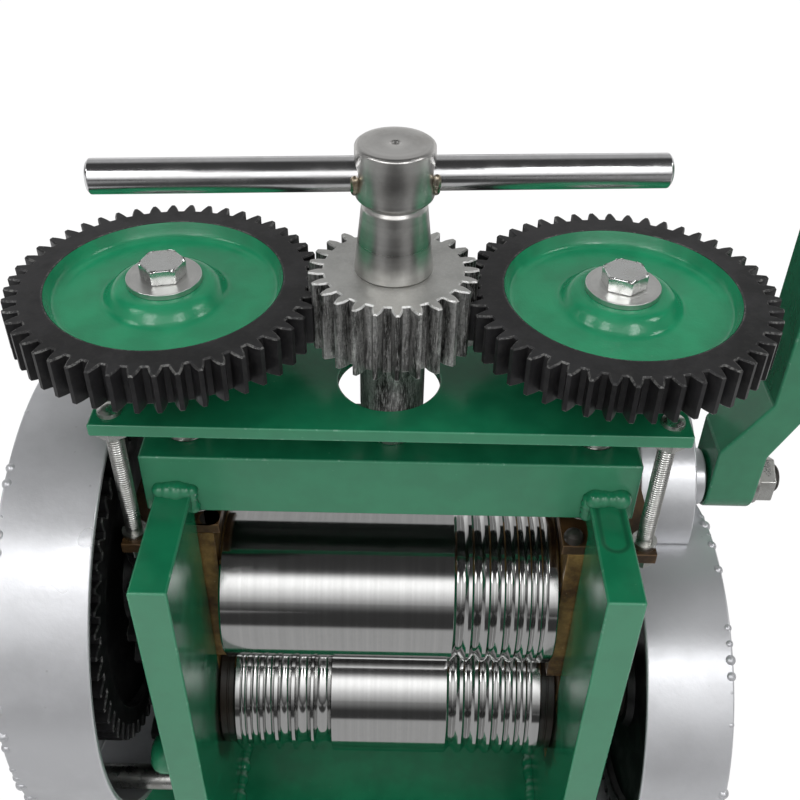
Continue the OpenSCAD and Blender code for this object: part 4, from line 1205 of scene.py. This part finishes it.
class MILL_OT_pressure_screws(MillOperator):
    """Pressure screws with their rings and sleeves"""

    bl_idname = "mill.pressure_screws"
    bl_label = "Pressure screws"

    def execute(self, context):
        for side in ("left", "right"):
            body = "screw_" + side
            low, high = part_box("pressure_screw_" + side)
            centre = (low + high) / 2
            ring_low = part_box("screw_ring_" + side)[0].z
            thread_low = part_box("top_beam")[0].z - 5 * MM
            radius = half_size("pressure_screw_" + side).x
            profile = [(low.z, 0.0), (low.z, radius - 1.5 * MM), (low.z + 1 * MM, radius - 1 * MM),
                (thread_low, radius - 0.2 * MM), (thread_low + 1 * MM, radius), (high.z - 0.5 * MM, radius),
                (high.z, radius - 0.5 * MM), (high.z, 0.0)]
            rod = threaded_rod("pressure_screw_" + side + "_finish", (centre.x, centre.y), profile,
                self.sizes().screw_pitch, SCREW_THREAD, thread_low, ring_low - 1.5 * MM, "zinc", 48)
            finish(rod, body, "zinc", "zinc", "pressure_screw_" + side)
            dressed("screw_ring_" + side, "dark_steel", self.sizes().metal_edge, 2)
            dressed("screw_sleeve_" + side, "dark_steel", self.sizes().metal_edge * 1.5, 2)
        return {"FINISHED"}


# Radius and depth in millimetres across one sunk web, from the rim inwards to the hub
RIM_INNER = 37.6
HUB = 14.2
WEB_PROFILE = ((RIM_INNER, 0.15), (37.3, 0.9), (36.9, 2.0), (36.4, 3.2), (35.9, 4.1), (35.3, 4.7),
    (34.4, 5.05), (33.0, 5.15), (21.6, 5.15), (20.4, 5.0), (19.5, 4.5), (18.7, 3.6), (17.7, 2.2), (16.6, 1.0),
    (15.4, 0.3), (HUB, 0.05), (HUB - 0.6, 0.0))


class MILL_OT_screw_gears(MillOperator):
    """Two screw gears: black toothed rims with enamelled webs and coned hubs"""

    bl_idname = "mill.screw_gears"
    bl_label = "Screw gears"

    def execute(self, context):
        sizes = self.sizes()
        bore = 7 * MM
        for side, turn in (("left", 0.0), ("right", math.pi + math.pi / sizes.screw_teeth)):
            node = "screw_gear_" + side
            low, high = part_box(node)
            centre = (low + high) / 2
            place = Matrix.Translation((centre.x, centre.y, 0.0)) @ Matrix.Rotation(turn, 4, "Z")
            rim = toothed_ring(node + "_rim", sizes.screw_teeth, sizes.gear_module, FINE_LASH, FINE_TIP,
                RIM_INNER * MM, low.z, high.z, "black_gear")
            rim.data.transform(place)
            finish(rim, "screw_" + side, "black_gear", "black_gear", node)
            top = [(high.z - d * MM, r * MM) for r, d in WEB_PROFILE] + [(high.z, bore)]
            under = [(low.z, bore)] + [(low.z + d * MM, r * MM) for r, d in reversed(WEB_PROFILE)]
            web = turned_piece(node + "_web", under + top, "Z", (centre.x, centre.y, 0.0), 0.0, 128, True,
                45.0)
            plain_edges(web.data)
            finish(web, "screw_" + side, "web_enamel", "green_enamel")
        return {"FINISHED"}


class MILL_OT_gear_fasteners(MillOperator):
    """Washers and bolts on top of the screw gears"""

    bl_idname = "mill.gear_fasteners"
    bl_label = "Gear bolts"

    def execute(self, context):
        for side in ("left", "right"):
            dressed("gear_washer_" + side, "washer_" + side, 0.3 * MM, 3)
            dressed("gear_bolt_" + side, "bolt_zinc", 0.5 * MM, 3)
        return {"FINISHED"}


class MILL_OT_adjuster(MillOperator):
    """Adjusting pinion on its post"""

    bl_idname = "mill.adjuster"
    bl_label = "Adjusting pinion"

    def execute(self, context):
        sizes = self.sizes()
        low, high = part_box("adjusting_pinion")
        teeth_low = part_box("screw_gear_left")[0].z - 4.3 * MM
        bore, boss, ring_inner = 5.6 * MM, 11 * MM, 12 * MM
        ring = toothed_ring("adjusting_pinion_finish", sizes.pinion_teeth, sizes.gear_module, FINE_LASH,
            FINE_TIP, ring_inner, teeth_low, high.z, "grey_pinion")
        top = high.z - 0.02 * MM
        core = [(low.z, bore), (low.z, boss - 0.6 * MM), (low.z + 0.6 * MM, boss), (teeth_low, boss),
            (teeth_low, ring_inner + 0.6 * MM), (top, ring_inner + 0.6 * MM), (top, bore)]
        mesh = lathe("core", core, "Z", (0, 0, 0), 96, True)
        plain_edges(mesh)
        join_meshes(ring, mesh)
        finish(ring, "adjuster", "grey_pinion", "grey_pinion", "adjusting_pinion")
        dressed("pinion_post", "zinc", 0.4 * MM, 2)
        return {"FINISHED"}


# Turn of the cross bar about the post, its left end and its length
BAR_TURN = math.radians(3.8)
BAR_START = -89.4 * MM
BAR_LENGTH = 171.7 * MM
# Radii of the turned post
POST_SPIGOT = 5.5 * MM
POST_FOOT = 12.5 * MM
CONE_LOW_RADIUS = 12.3 * MM
CONE_HIGH_RADIUS = 10.1 * MM
NECK_RADIUS = 9.3 * MM
HEAD_RADIUS = 12 * MM


class MILL_OT_t_handle(MillOperator):
    """Turned post and cross bar of the T handle"""

    bl_idname = "mill.t_handle"
    bl_label = "T handle"

    def execute(self, context):
        post_low, post_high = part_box("t_post")
        pinion_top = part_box("adjusting_pinion")[1].z
        head_bottom = post_high.z - 17.9 * MM
        neck = head_bottom - 0.7 * MM
        bar_height = head_bottom + 8.1 * MM
        cone_low, cone_high = pinion_top + 1.8 * MM, neck - 1.2 * MM
        lean = (CONE_LOW_RADIUS - CONE_HIGH_RADIUS) / (cone_high - cone_low)
        top = post_high.z
        profile = [(post_low.z, 0.0), (post_low.z, POST_SPIGOT), (pinion_top, POST_SPIGOT),
            (pinion_top, POST_FOOT - 0.7 * MM), (pinion_top + 0.7 * MM, POST_FOOT),
            (cone_low, CONE_LOW_RADIUS), (cone_low + MM, CONE_LOW_RADIUS - lean * MM),
            (cone_high - MM, CONE_HIGH_RADIUS + lean * MM), (cone_high, CONE_HIGH_RADIUS),
            (neck, NECK_RADIUS), (head_bottom, NECK_RADIUS + 1.1 * MM), (head_bottom + 1.6 * MM, HEAD_RADIUS),
            (top - 0.9 * MM, HEAD_RADIUS), (top - 0.15 * MM, HEAD_RADIUS - 0.9 * MM),
            (top, HEAD_RADIUS - 2.4 * MM), (top - 0.05 * MM, 1.6 * MM), (top - 0.9 * MM, 0.7 * MM),
            (top - 1.0 * MM, 0.0)]
        post = turned_piece("t_post_finish", profile, "Z", (0, 0, 0), 0.35 * MM, 128, False, 35.0)
        finish(post, "adjuster", "bright_zinc", "bright_zinc", "t_post")
        bar_low, bar_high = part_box("t_bar")
        radius = (bar_high.z - bar_low.z) / 2
        start, end = BAR_START, BAR_START + BAR_LENGTH
        shape = [(start, 0.0), (start, radius - 1.0 * MM), (start + 0.9 * MM, radius), (-12 * MM, radius),
            (12 * MM, radius), (end - 0.9 * MM, radius), (end, radius - 1.0 * MM), (end, 0.0)]
        bar = turned_piece("t_bar_finish", shape, "X", (0, 0, 0), 0.25 * MM, 96, False, 35.0)
        place = Matrix.Translation((0, 0, bar_height)) @ Matrix.Rotation(BAR_TURN, 4, "Z")
        bar.data.transform(place)
        finish(bar, "adjuster", "bar_chrome", "bright_zinc", "t_bar")
        welds = []
        for side in (-1, 1):
            path = []
            for step in range(25):
                angle = math.radians(170.0 + 200.0 * step / 24)
                path.append((side * HEAD_RADIUS, radius * math.cos(angle), radius * math.sin(angle)))
            welds.append(bead_piece("t_weld", path, 1.25 * MM, 0.6 * MM, 31 + side, 0.2, "weld_brown"))
        piece = joined(welds, "t_welds_finish")
        piece.data.transform(place)
        piece.data.shade_smooth()
        finish(piece, "adjuster", "weld_brown", "bright_zinc")
        return {"FINISHED"}


# Grooves of the rolls: place from the left end and depth, both in millimetres
VEE_GROOVES = ((91.4, 2.5), (97.9, 2.25), (104.0, 2.05), (109.5, 1.8), (114.4, 1.55), (118.9, 1.35),
    (122.9, 1.15))
ROUND_GROOVES = ((4.2, 1.6), (9, 2.0), (14.6, 2.4), (21.2, 2.9), (28.8, 3.4), (37, 3.8))


def roll_profile(half, radius, rounds, vees):
    """Profile of a roll body with its grooves, from end to end."""
    profile = [(-half, radius - 0.8 * MM), (-half + 0.8 * MM, radius)]
    for at, depth in rounds:
        centre = -half + at * MM
        size = depth * MM
        for step in range(13):
            angle = math.pi * step / 12
            profile.append((centre - size * math.cos(angle), radius - size * math.sin(angle)))
    for at, depth in vees:
        centre = -half + at * MM
        size = min(depth * MM, half - 0.3 * MM - centre)
        profile += [(centre - size - 0.25 * MM, radius), (centre - size, radius - 0.12 * MM),
            (centre - 0.12 * MM, radius - size), (centre + 0.12 * MM, radius - size),
            (centre + size, radius - 0.12 * MM), (centre + size + 0.25 * MM, radius)]
    profile += [(half - 0.5 * MM, radius), (half, radius - 0.5 * MM)]
    result = []
    for point in sorted(profile, key=lambda p: p[0]):
        if not result or point[0] - result[-1][0] > 1e-6:
            result.append(point)
    return result


class MILL_OT_rolls(MillOperator):
    """Polished rolls with V and half-round grooves, and the black collars"""

    bl_idname = "mill.rolls"
    bl_label = "Rolls"

    def execute(self, context):
        collar_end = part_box("roll_collars")[1].x
        collar = half_size("roll_collars").z
        radius = half_size("upper_roll").z
        journal = 12.5 * MM
        seat = 12 * MM
        plate_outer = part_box("side_plate_right")[1].x
        half = 64 * MM
        for node, rounds in (("upper_roll", ()), ("lower_roll", ROUND_GROOVES)):
            low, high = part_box(node)
            body = roll_profile(half, radius, rounds, VEE_GROOVES)
            left = [(low.x, 0.0), (low.x, seat - 0.7 * MM), (low.x + 0.7 * MM, seat),
                (-plate_outer - 0.7 * MM, seat), (-plate_outer - 0.7 * MM, journal), (-half, journal)]
            right = [(half, journal), (plate_outer + 0.7 * MM, journal)]
            if node == "lower_roll":
                right += [(plate_outer + 0.7 * MM, seat), (high.x - 0.7 * MM, seat),
                    (high.x, seat - 0.7 * MM)]
            right += [(high.x, 0.0)]
            piece = turned_piece(node + "_finish", left + body + right, "X", (0, 0, middle(node).z), 0.0, 256,
                False, 25.0)
            finish(piece, BODY_OF[node], "roll_steel", "roll_steel", node)
        z = middle("lower_roll").z
        for side, name in ((-1, "left"), (1, "right")):
            shape = [(half, journal), (half, collar - 0.3 * MM), (half + 0.3 * MM, collar),
                (half + 2.2 * MM, collar), (half + 2.5 * MM, collar - 0.4 * MM),
                (half + 3.0 * MM, collar - 0.4 * MM), (half + 3.3 * MM, collar),
                (collar_end - 0.5 * MM, collar), (collar_end, collar - 0.5 * MM), (collar_end, journal)]
            piece = turned_piece("roll_collar_" + name, [(side * a, r) for a, r in shape], "X", (0, 0, z),
                0.0, 160, True)
            nodes = ("roll_collars",) if side < 0 else ()
            finish(piece, "lower_roll", "collar_black", "dark_steel", *nodes)
        return {"FINISHED"}


def wheel(node, teeth, module, lash, tip, turn, bore):
    """A toothed wheel on a shaft along X, with a recessed web."""
    low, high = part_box(node)
    centre = (low + high) / 2
    width = high.x - low.x
    root = teeth * module / 2 - 1.25 * module
    rim = max(root - 7 * MM, bore + 8 * MM)
    piece = toothed_ring(node + "_finish", teeth, module, lash, tip, rim, 0.0, width, "black_gear")
    hub = bore + 7 * MM
    recess = 3 * MM if rim - hub > 8 * MM else 0.0
    if recess:
        web = [(0.0, bore), (0.0, hub), (recess, hub + 1 * MM), (recess, rim - 1 * MM),
            (0.6 * MM, rim + 0.2 * MM), (width - 0.6 * MM, rim + 0.2 * MM), (width - recess, rim - 1 * MM),
            (width - recess, hub + 1 * MM), (width, hub), (width, bore)]
    else:
        web = [(0.0, bore), (0.0, rim + 0.2 * MM), (width, rim + 0.2 * MM), (width, bore)]
    mesh = lathe("web", web, "Z", (0, 0, 0), 96, True)
    plain_edges(mesh)
    join_meshes(piece, mesh)
    turned = Matrix(((0, 0, 1, 0), (1, 0, 0, 0), (0, 1, 0, 0), (0, 0, 0, 1)))
    place = Matrix.Translation((low.x, centre.y, centre.z)) @ turned @ Matrix.Rotation(turn, 4, "Z")
    piece.data.transform(place)
    return finish(piece, BODY_OF[node], "black_gear", "black_gear", node)


# Module, play and tip height of the coarse teeth, and the tooth counts
COARSE_MODULE = 5 * MM
COARSE_LASH = 0.5 * MM
COARSE_TIP = 0.86
COUPLING_TEETH = 13
WHEEL_TEETH = 50
CRANK_TEETH = 26


class MILL_OT_roll_gears(MillOperator):
    """Coupling gears, drive wheels and the crank pinion"""

    bl_idname = "mill.roll_gears"
    bl_label = "Roll gears"

    def execute(self, context):
        module = self.sizes().wheel_module
        lean = math.atan2(middle("crank_pinion").y, middle("crank_pinion").z - middle("drive_wheel").z)
        seat = 12 * MM
        quarter = math.pi / 2
        coarse = (COUPLING_TEETH, COARSE_MODULE, COARSE_LASH, COARSE_TIP)
        fine = (WHEEL_TEETH, module, FINE_LASH, FINE_TIP)
        crank = (CRANK_TEETH, module, FINE_LASH, FINE_TIP)
        wheel("upper_coupling_gear", *coarse, 3 * quarter + math.pi / COUPLING_TEETH, seat)
        wheel("lower_coupling_gear", *coarse, quarter, seat)
        wheel("upper_wheel", *fine, 0.0, seat)
        wheel("drive_wheel", *fine, quarter - lean + math.pi / WHEEL_TEETH, seat)
        wheel("crank_pinion", *crank, 3 * quarter - lean, 8 * MM)
        for node in ("upper_end_ring", "lower_end_rings", "shaft_ring"):
            dressed(node, "dark_steel", 0.4 * MM, 2)
        return {"FINISHED"}


class MILL_OT_crank(MillOperator):
    """Crank arm, shaft, washer and nut"""

    bl_idname = "mill.crank"
    bl_label = "Crank"

    def execute(self, context):
        dressed("crank_arm", "green_enamel", self.sizes().enamel_edge * 1.3, 4)
        dressed("crank_shaft", "dark_steel", 0.4 * MM, 2)
        dressed("crank_washer", "zinc", 0.3 * MM, 2)
        dressed("crank_nut", "zinc", 0.6 * MM, 2)
        dressed("grip_pin", "zinc", 0.4 * MM, 2)
        return {"FINISHED"}


class MILL_OT_grip(MillOperator):
    """Turning grip of the crank"""

    bl_idname = "mill.grip"
    bl_label = "Grip"

    def execute(self, context):
        low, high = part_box("crank_grip")
        centre = middle("crank_grip")
        half = half_size("crank_grip").z
        length = high.x - low.x
        bore = 5.1 * MM
        shape = [(0.0, 0.66), (0.02, 0.78), (0.05, 0.83), (0.09, 0.8), (0.12, 0.82), (0.3, 0.955), (0.5, 1.0),
            (0.7, 0.965), (0.88, 0.86), (0.93, 0.83), (0.97, 0.8), (1.0, 0.68)]
        skin = [(share * length, radius * half) for share, radius in shape]
        profile = [(0.0, bore)] + skin + [(length, bore)]
        grip = turned_piece("crank_grip_finish", profile, "X", (low.x, centre.y, centre.z), 2.2 * MM, 96,
            True, 60.0)
        finish(grip, "grip", "grip", "grip", "crank_grip")
        return {"FINISHED"}


CIRCLE_STEPS = 96
LEFT_COVER_RADIUS = 94 * MM
RIGHT_COVER_RADIUS = 76.5 * MM
RIGHT_COVER_Y = 6 * MM


def circle_path(x, centre_y, centre_z, radius):
    """Points round a circle about an axis along X."""
    angles = [math.radians(360.0 * i / CIRCLE_STEPS) for i in range(CIRCLE_STEPS)]
    return [(x, centre_y + radius * math.cos(a), centre_z + radius * math.sin(a)) for a in angles]


class MILL_OT_covers(MillOperator):
    """Silver gear covers with their weld beads"""

    bl_idname = "mill.covers"
    bl_label = "Gear covers"

    def execute(self, context):
        for node in ("left_gear_cover", "right_gear_cover", "pinion_cover"):
            dressed(node, "silver_paint", 0.8 * MM, 3)
        size = self.sizes().bead_size
        for node, outer in (("left_gear_cover", -1), ("right_gear_cover", 1)):
            low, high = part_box(node)
            x = low.x if outer < 0 else high.x
            radius = LEFT_COVER_RADIUS if outer < 0 else RIGHT_COVER_RADIUS
            centre_y = high.y - radius if outer < 0 else RIGHT_COVER_Y
            path = circle_path(x - outer * size * 0.45, centre_y, high.z - radius, radius - size * 0.42)
            bead = bead_piece(node + "_bead", path, size * 0.6, size * 2.3, 21 + outer, 0.75, "silver_paint",
                0.4 * MM, True)
            finish(bead, "frame", "silver_paint", "silver_paint")
        return {"FINISHED"}


class MILL_OT_cover_fasteners(MillOperator):
    """Studs, posts, nuts and screws of the covers"""

    bl_idname = "mill.cover_fasteners"
    bl_label = "Cover fasteners"

    def execute(self, context):
        for node in ("cover_studs", "cover_nuts", "cover_posts", "cover_screws"):
            dressed(node, "zinc", 0.4 * MM, 2)
        return {"FINISHED"}


# Stage

CAMERA_PLACE = (0.00295, -0.2728, 0.4651)
CAMERA_PITCH = 39.19
CAMERA_YAW = -0.03
CAMERA_ROLL = 1.16
CAMERA_LENS = 45.47
SENSOR_WIDTH = 36.0
# Lamps: name, azimuth, elevation, width, height, power, whether soft, whether seen by gloss
LAMPS = (
    ("front_softbox", 0.0, 33.0, 2.2, 1.1, 6.4, True, True),
    ("panel_0", -70.0, 46.0, 0.22, 0.32, 1.6, False, True),
    ("panel_1", -32.0, 46.0, 0.22, 0.32, 1.6, False, True),
    ("panel_2", 31.0, 46.0, 0.22, 0.32, 1.6, False, True),
    ("panel_3", 80.0, 46.0, 0.22, 0.32, 1.6, False, True),
    ("overhead_fill", 0.0, 85.0, 1.5, 1.5, 13.0, False, False),
    ("low_fill", 0.0, 10.0, 2.2, 0.7, 7.0, False, False),
    ("rear_fill", 180.0, 12.0, 1.8, 0.8, 5.0, False, False),
)
LAMP_TARGET = (0.0, 0.0, 0.18)
LAMP_DISTANCE = 1.3
FLOOR_REACH = 4.0


def softbox(name, azimuth, elevation, width, height, power, soft, gloss):
    """A rectangular lamp on a sphere round the mill. A soft one fades to its upper and lower edge."""
    lamp = bpy.data.lights.new(name, "AREA")
    lamp.shape = "RECTANGLE"
    lamp.size = width
    lamp.size_y = height
    lamp.energy = power
    if soft:
        lamp.use_nodes = True
        look = Wires(lamp.node_tree)
        up = look.split(look.add("ShaderNodeNewGeometry").outputs["Parametric"])[1]
        glow = look.times(look.ramp(up, 0.0, 0.62, 0.2, 2.0), look.ramp(up, 0.66, 0.95, 1.0, 0.02))
        look.link(glow, look.tree.nodes["Emission"].inputs["Strength"])
    turn, rise = math.radians(azimuth), math.radians(elevation)
    way = Vector((math.sin(turn) * math.cos(rise), -math.cos(turn) * math.cos(rise), math.sin(rise)))
    holder = bpy.data.objects.new(name, lamp)
    holder.location = Vector(LAMP_TARGET) + way * LAMP_DISTANCE
    holder.rotation_euler = (-way).to_track_quat("-Z", "Y").to_euler()
    holder.visible_glossy = gloss
    bpy.context.scene.collection.objects.link(holder)


def pale_floor():
    """A pale floor: white to the camera, to gloss a table that ends in front and darkens to the sides."""
    floor = bpy.data.materials.new("pale_floor")
    floor.use_nodes = True
    look = Wires(floor.node_tree)
    look.tree.nodes.clear()
    path = look.add("ShaderNodeLightPath").outputs
    matte = look.add("ShaderNodeBsdfDiffuse")
    matte.inputs["Color"].default_value = (0.8, 0.8, 0.8, 1.0)
    x, y, _ = look.split(look.place())
    front = look.ramp(y, -0.40, -0.31, 0.05, 0.47)
    near = look.times(front, look.ramp(y, 0.05, 0.25, 1.0, 0.1))
    sides = look.times(look.ramp(look.math("ABSOLUTE", x), 0.2, 0.5, 0.0, 0.85),
        look.ramp(y, -0.25, 0.0, 0.35, 1.0))
    table = look.math("MAXIMUM", near, sides)
    glow = look.add("ShaderNodeEmission")
    seen = look.math("ADD", path["Is Camera Ray"], path["Is Transmission Ray"], True)
    look.link(look.mix(seen, table, (1.06, 1.06, 1.06)), glow.inputs["Color"])
    blend = look.add("ShaderNodeMixShader")
    share = look.math("ADD", look.times(seen, 0.9), path["Is Glossy Ray"], True)
    look.link(share, blend.inputs[0])
    look.link(matte.outputs[0], blend.inputs[1])
    look.link(glow.outputs[0], blend.inputs[2])
    end = look.add("ShaderNodeOutputMaterial")
    look.link(blend.outputs[0], end.inputs[0])
    return floor


def studio_world():
    """White to the camera; to gloss a dark studio with a pale backdrop; a plain fill for the rest."""
    world = bpy.data.worlds.new("studio")
    bpy.context.scene.world = world
    world.use_nodes = True
    look = Wires(world.node_tree)
    look.tree.nodes.clear()
    path = look.add("ShaderNodeLightPath").outputs
    _, y, z = look.split(look.add("ShaderNodeTexCoord").outputs["Generated"])
    behind = look.times(look.ramp(y, 0.3, 0.6), look.ramp(z, -0.1, 0.1))
    backdrop = look.ramp(z, 0.05, 0.45, 0.95, 0.42)
    ahead = look.times(look.ramp(z, -0.05, 0.25, 0.05, 0.3), look.ramp(z, 0.3, 0.5, 1.0, 0.15))
    studio = look.mix(behind, ahead, backdrop)
    inner = look.mix(path["Is Glossy Ray"], (0.06, 0.06, 0.061), studio)
    colour = look.mix(path["Is Camera Ray"], inner, (1.0, 1.0, 1.0))
    back = look.add("ShaderNodeBackground")
    look.link(colour, back.inputs["Color"])
    end = look.add("ShaderNodeOutputWorld")
    look.link(back.outputs[0], end.inputs[0])


class MILL_OT_stage(MillOperator):
    """Camera, studio lamps, world and floor"""

    bl_idname = "mill.stage"
    bl_label = "Stage"

    def execute(self, context):
        scene = bpy.context.scene
        scene.view_settings.view_transform = "Standard"
        camera = bpy.data.cameras.new("camera")
        camera.lens = CAMERA_LENS
        camera.sensor_width = SENSOR_WIDTH
        pitch, yaw, roll = (math.radians(a) for a in (CAMERA_PITCH, CAMERA_YAW, CAMERA_ROLL))
        ahead = Vector((math.sin(yaw) * math.cos(pitch), math.cos(yaw) * math.cos(pitch), -math.sin(pitch)))
        right = Vector((math.cos(yaw), -math.sin(yaw), 0.0))
        up = right.cross(ahead)
        tilted_right = math.cos(roll) * right + math.sin(roll) * up
        tilted_up = -math.sin(roll) * right + math.cos(roll) * up
        turn = Matrix((tilted_right, tilted_up, -ahead)).transposed().to_4x4()
        holder = bpy.data.objects.new("camera", camera)
        holder.matrix_world = Matrix.Translation(CAMERA_PLACE) @ turn
        scene.collection.objects.link(holder)
        scene.camera = holder
        for lamp in LAMPS:
            softbox(*lamp)
        studio_world()
        corners = [(x * FLOOR_REACH, y * FLOOR_REACH, 0) for x, y in ((-1, -1), (1, -1), (1, 1), (-1, 1))]
        mesh = mesh_from("floor", corners, [(0, 1, 2, 3)])
        floor = link_object("floor", mesh)
        floor.data.materials.append(pale_floor())
        return {"FINISHED"}


class MILL_PT_panel(Panel):
    """Lists the pieces of the mill"""

    bl_idname = "MILL_PT_panel"
    bl_label = "Rolling mill"
    bl_space_type = "VIEW_3D"
    bl_region_type = "UI"
    bl_category = "Rolling mill"

    def draw(self, context):
        for group in (context.scene.mill_sizes, context.scene.mill_colours):
            for name in group.__annotations__:
                self.layout.prop(group, name)
        for operator in OPERATORS:
            self.layout.operator(operator.bl_idname)


OPERATORS = (MILL_OT_stage, MILL_OT_frame, MILL_OT_welds, MILL_OT_bearings, MILL_OT_studs,
    MILL_OT_pressure_screws, MILL_OT_screw_gears, MILL_OT_gear_fasteners, MILL_OT_adjuster, MILL_OT_t_handle,
    MILL_OT_rolls, MILL_OT_roll_gears, MILL_OT_crank, MILL_OT_grip, MILL_OT_covers, MILL_OT_cover_fasteners)
CLASSES = (MillSizes, MillColours) + OPERATORS + (MILL_PT_panel,)


def register():
    for item in CLASSES:
        bpy.utils.register_class(item)
    bpy.types.Scene.mill_sizes = PointerProperty(type=MillSizes)
    bpy.types.Scene.mill_colours = PointerProperty(type=MillColours)


def unregister():
    del bpy.types.Scene.mill_colours
    del bpy.types.Scene.mill_sizes
    for item in reversed(CLASSES):
        bpy.utils.unregister_class(item)


def main():
    register()
    for operator in OPERATORS:
        group, name = operator.bl_idname.split(".")
        getattr(getattr(bpy.ops, group), name)()


if __name__ == "__main__":
    main()
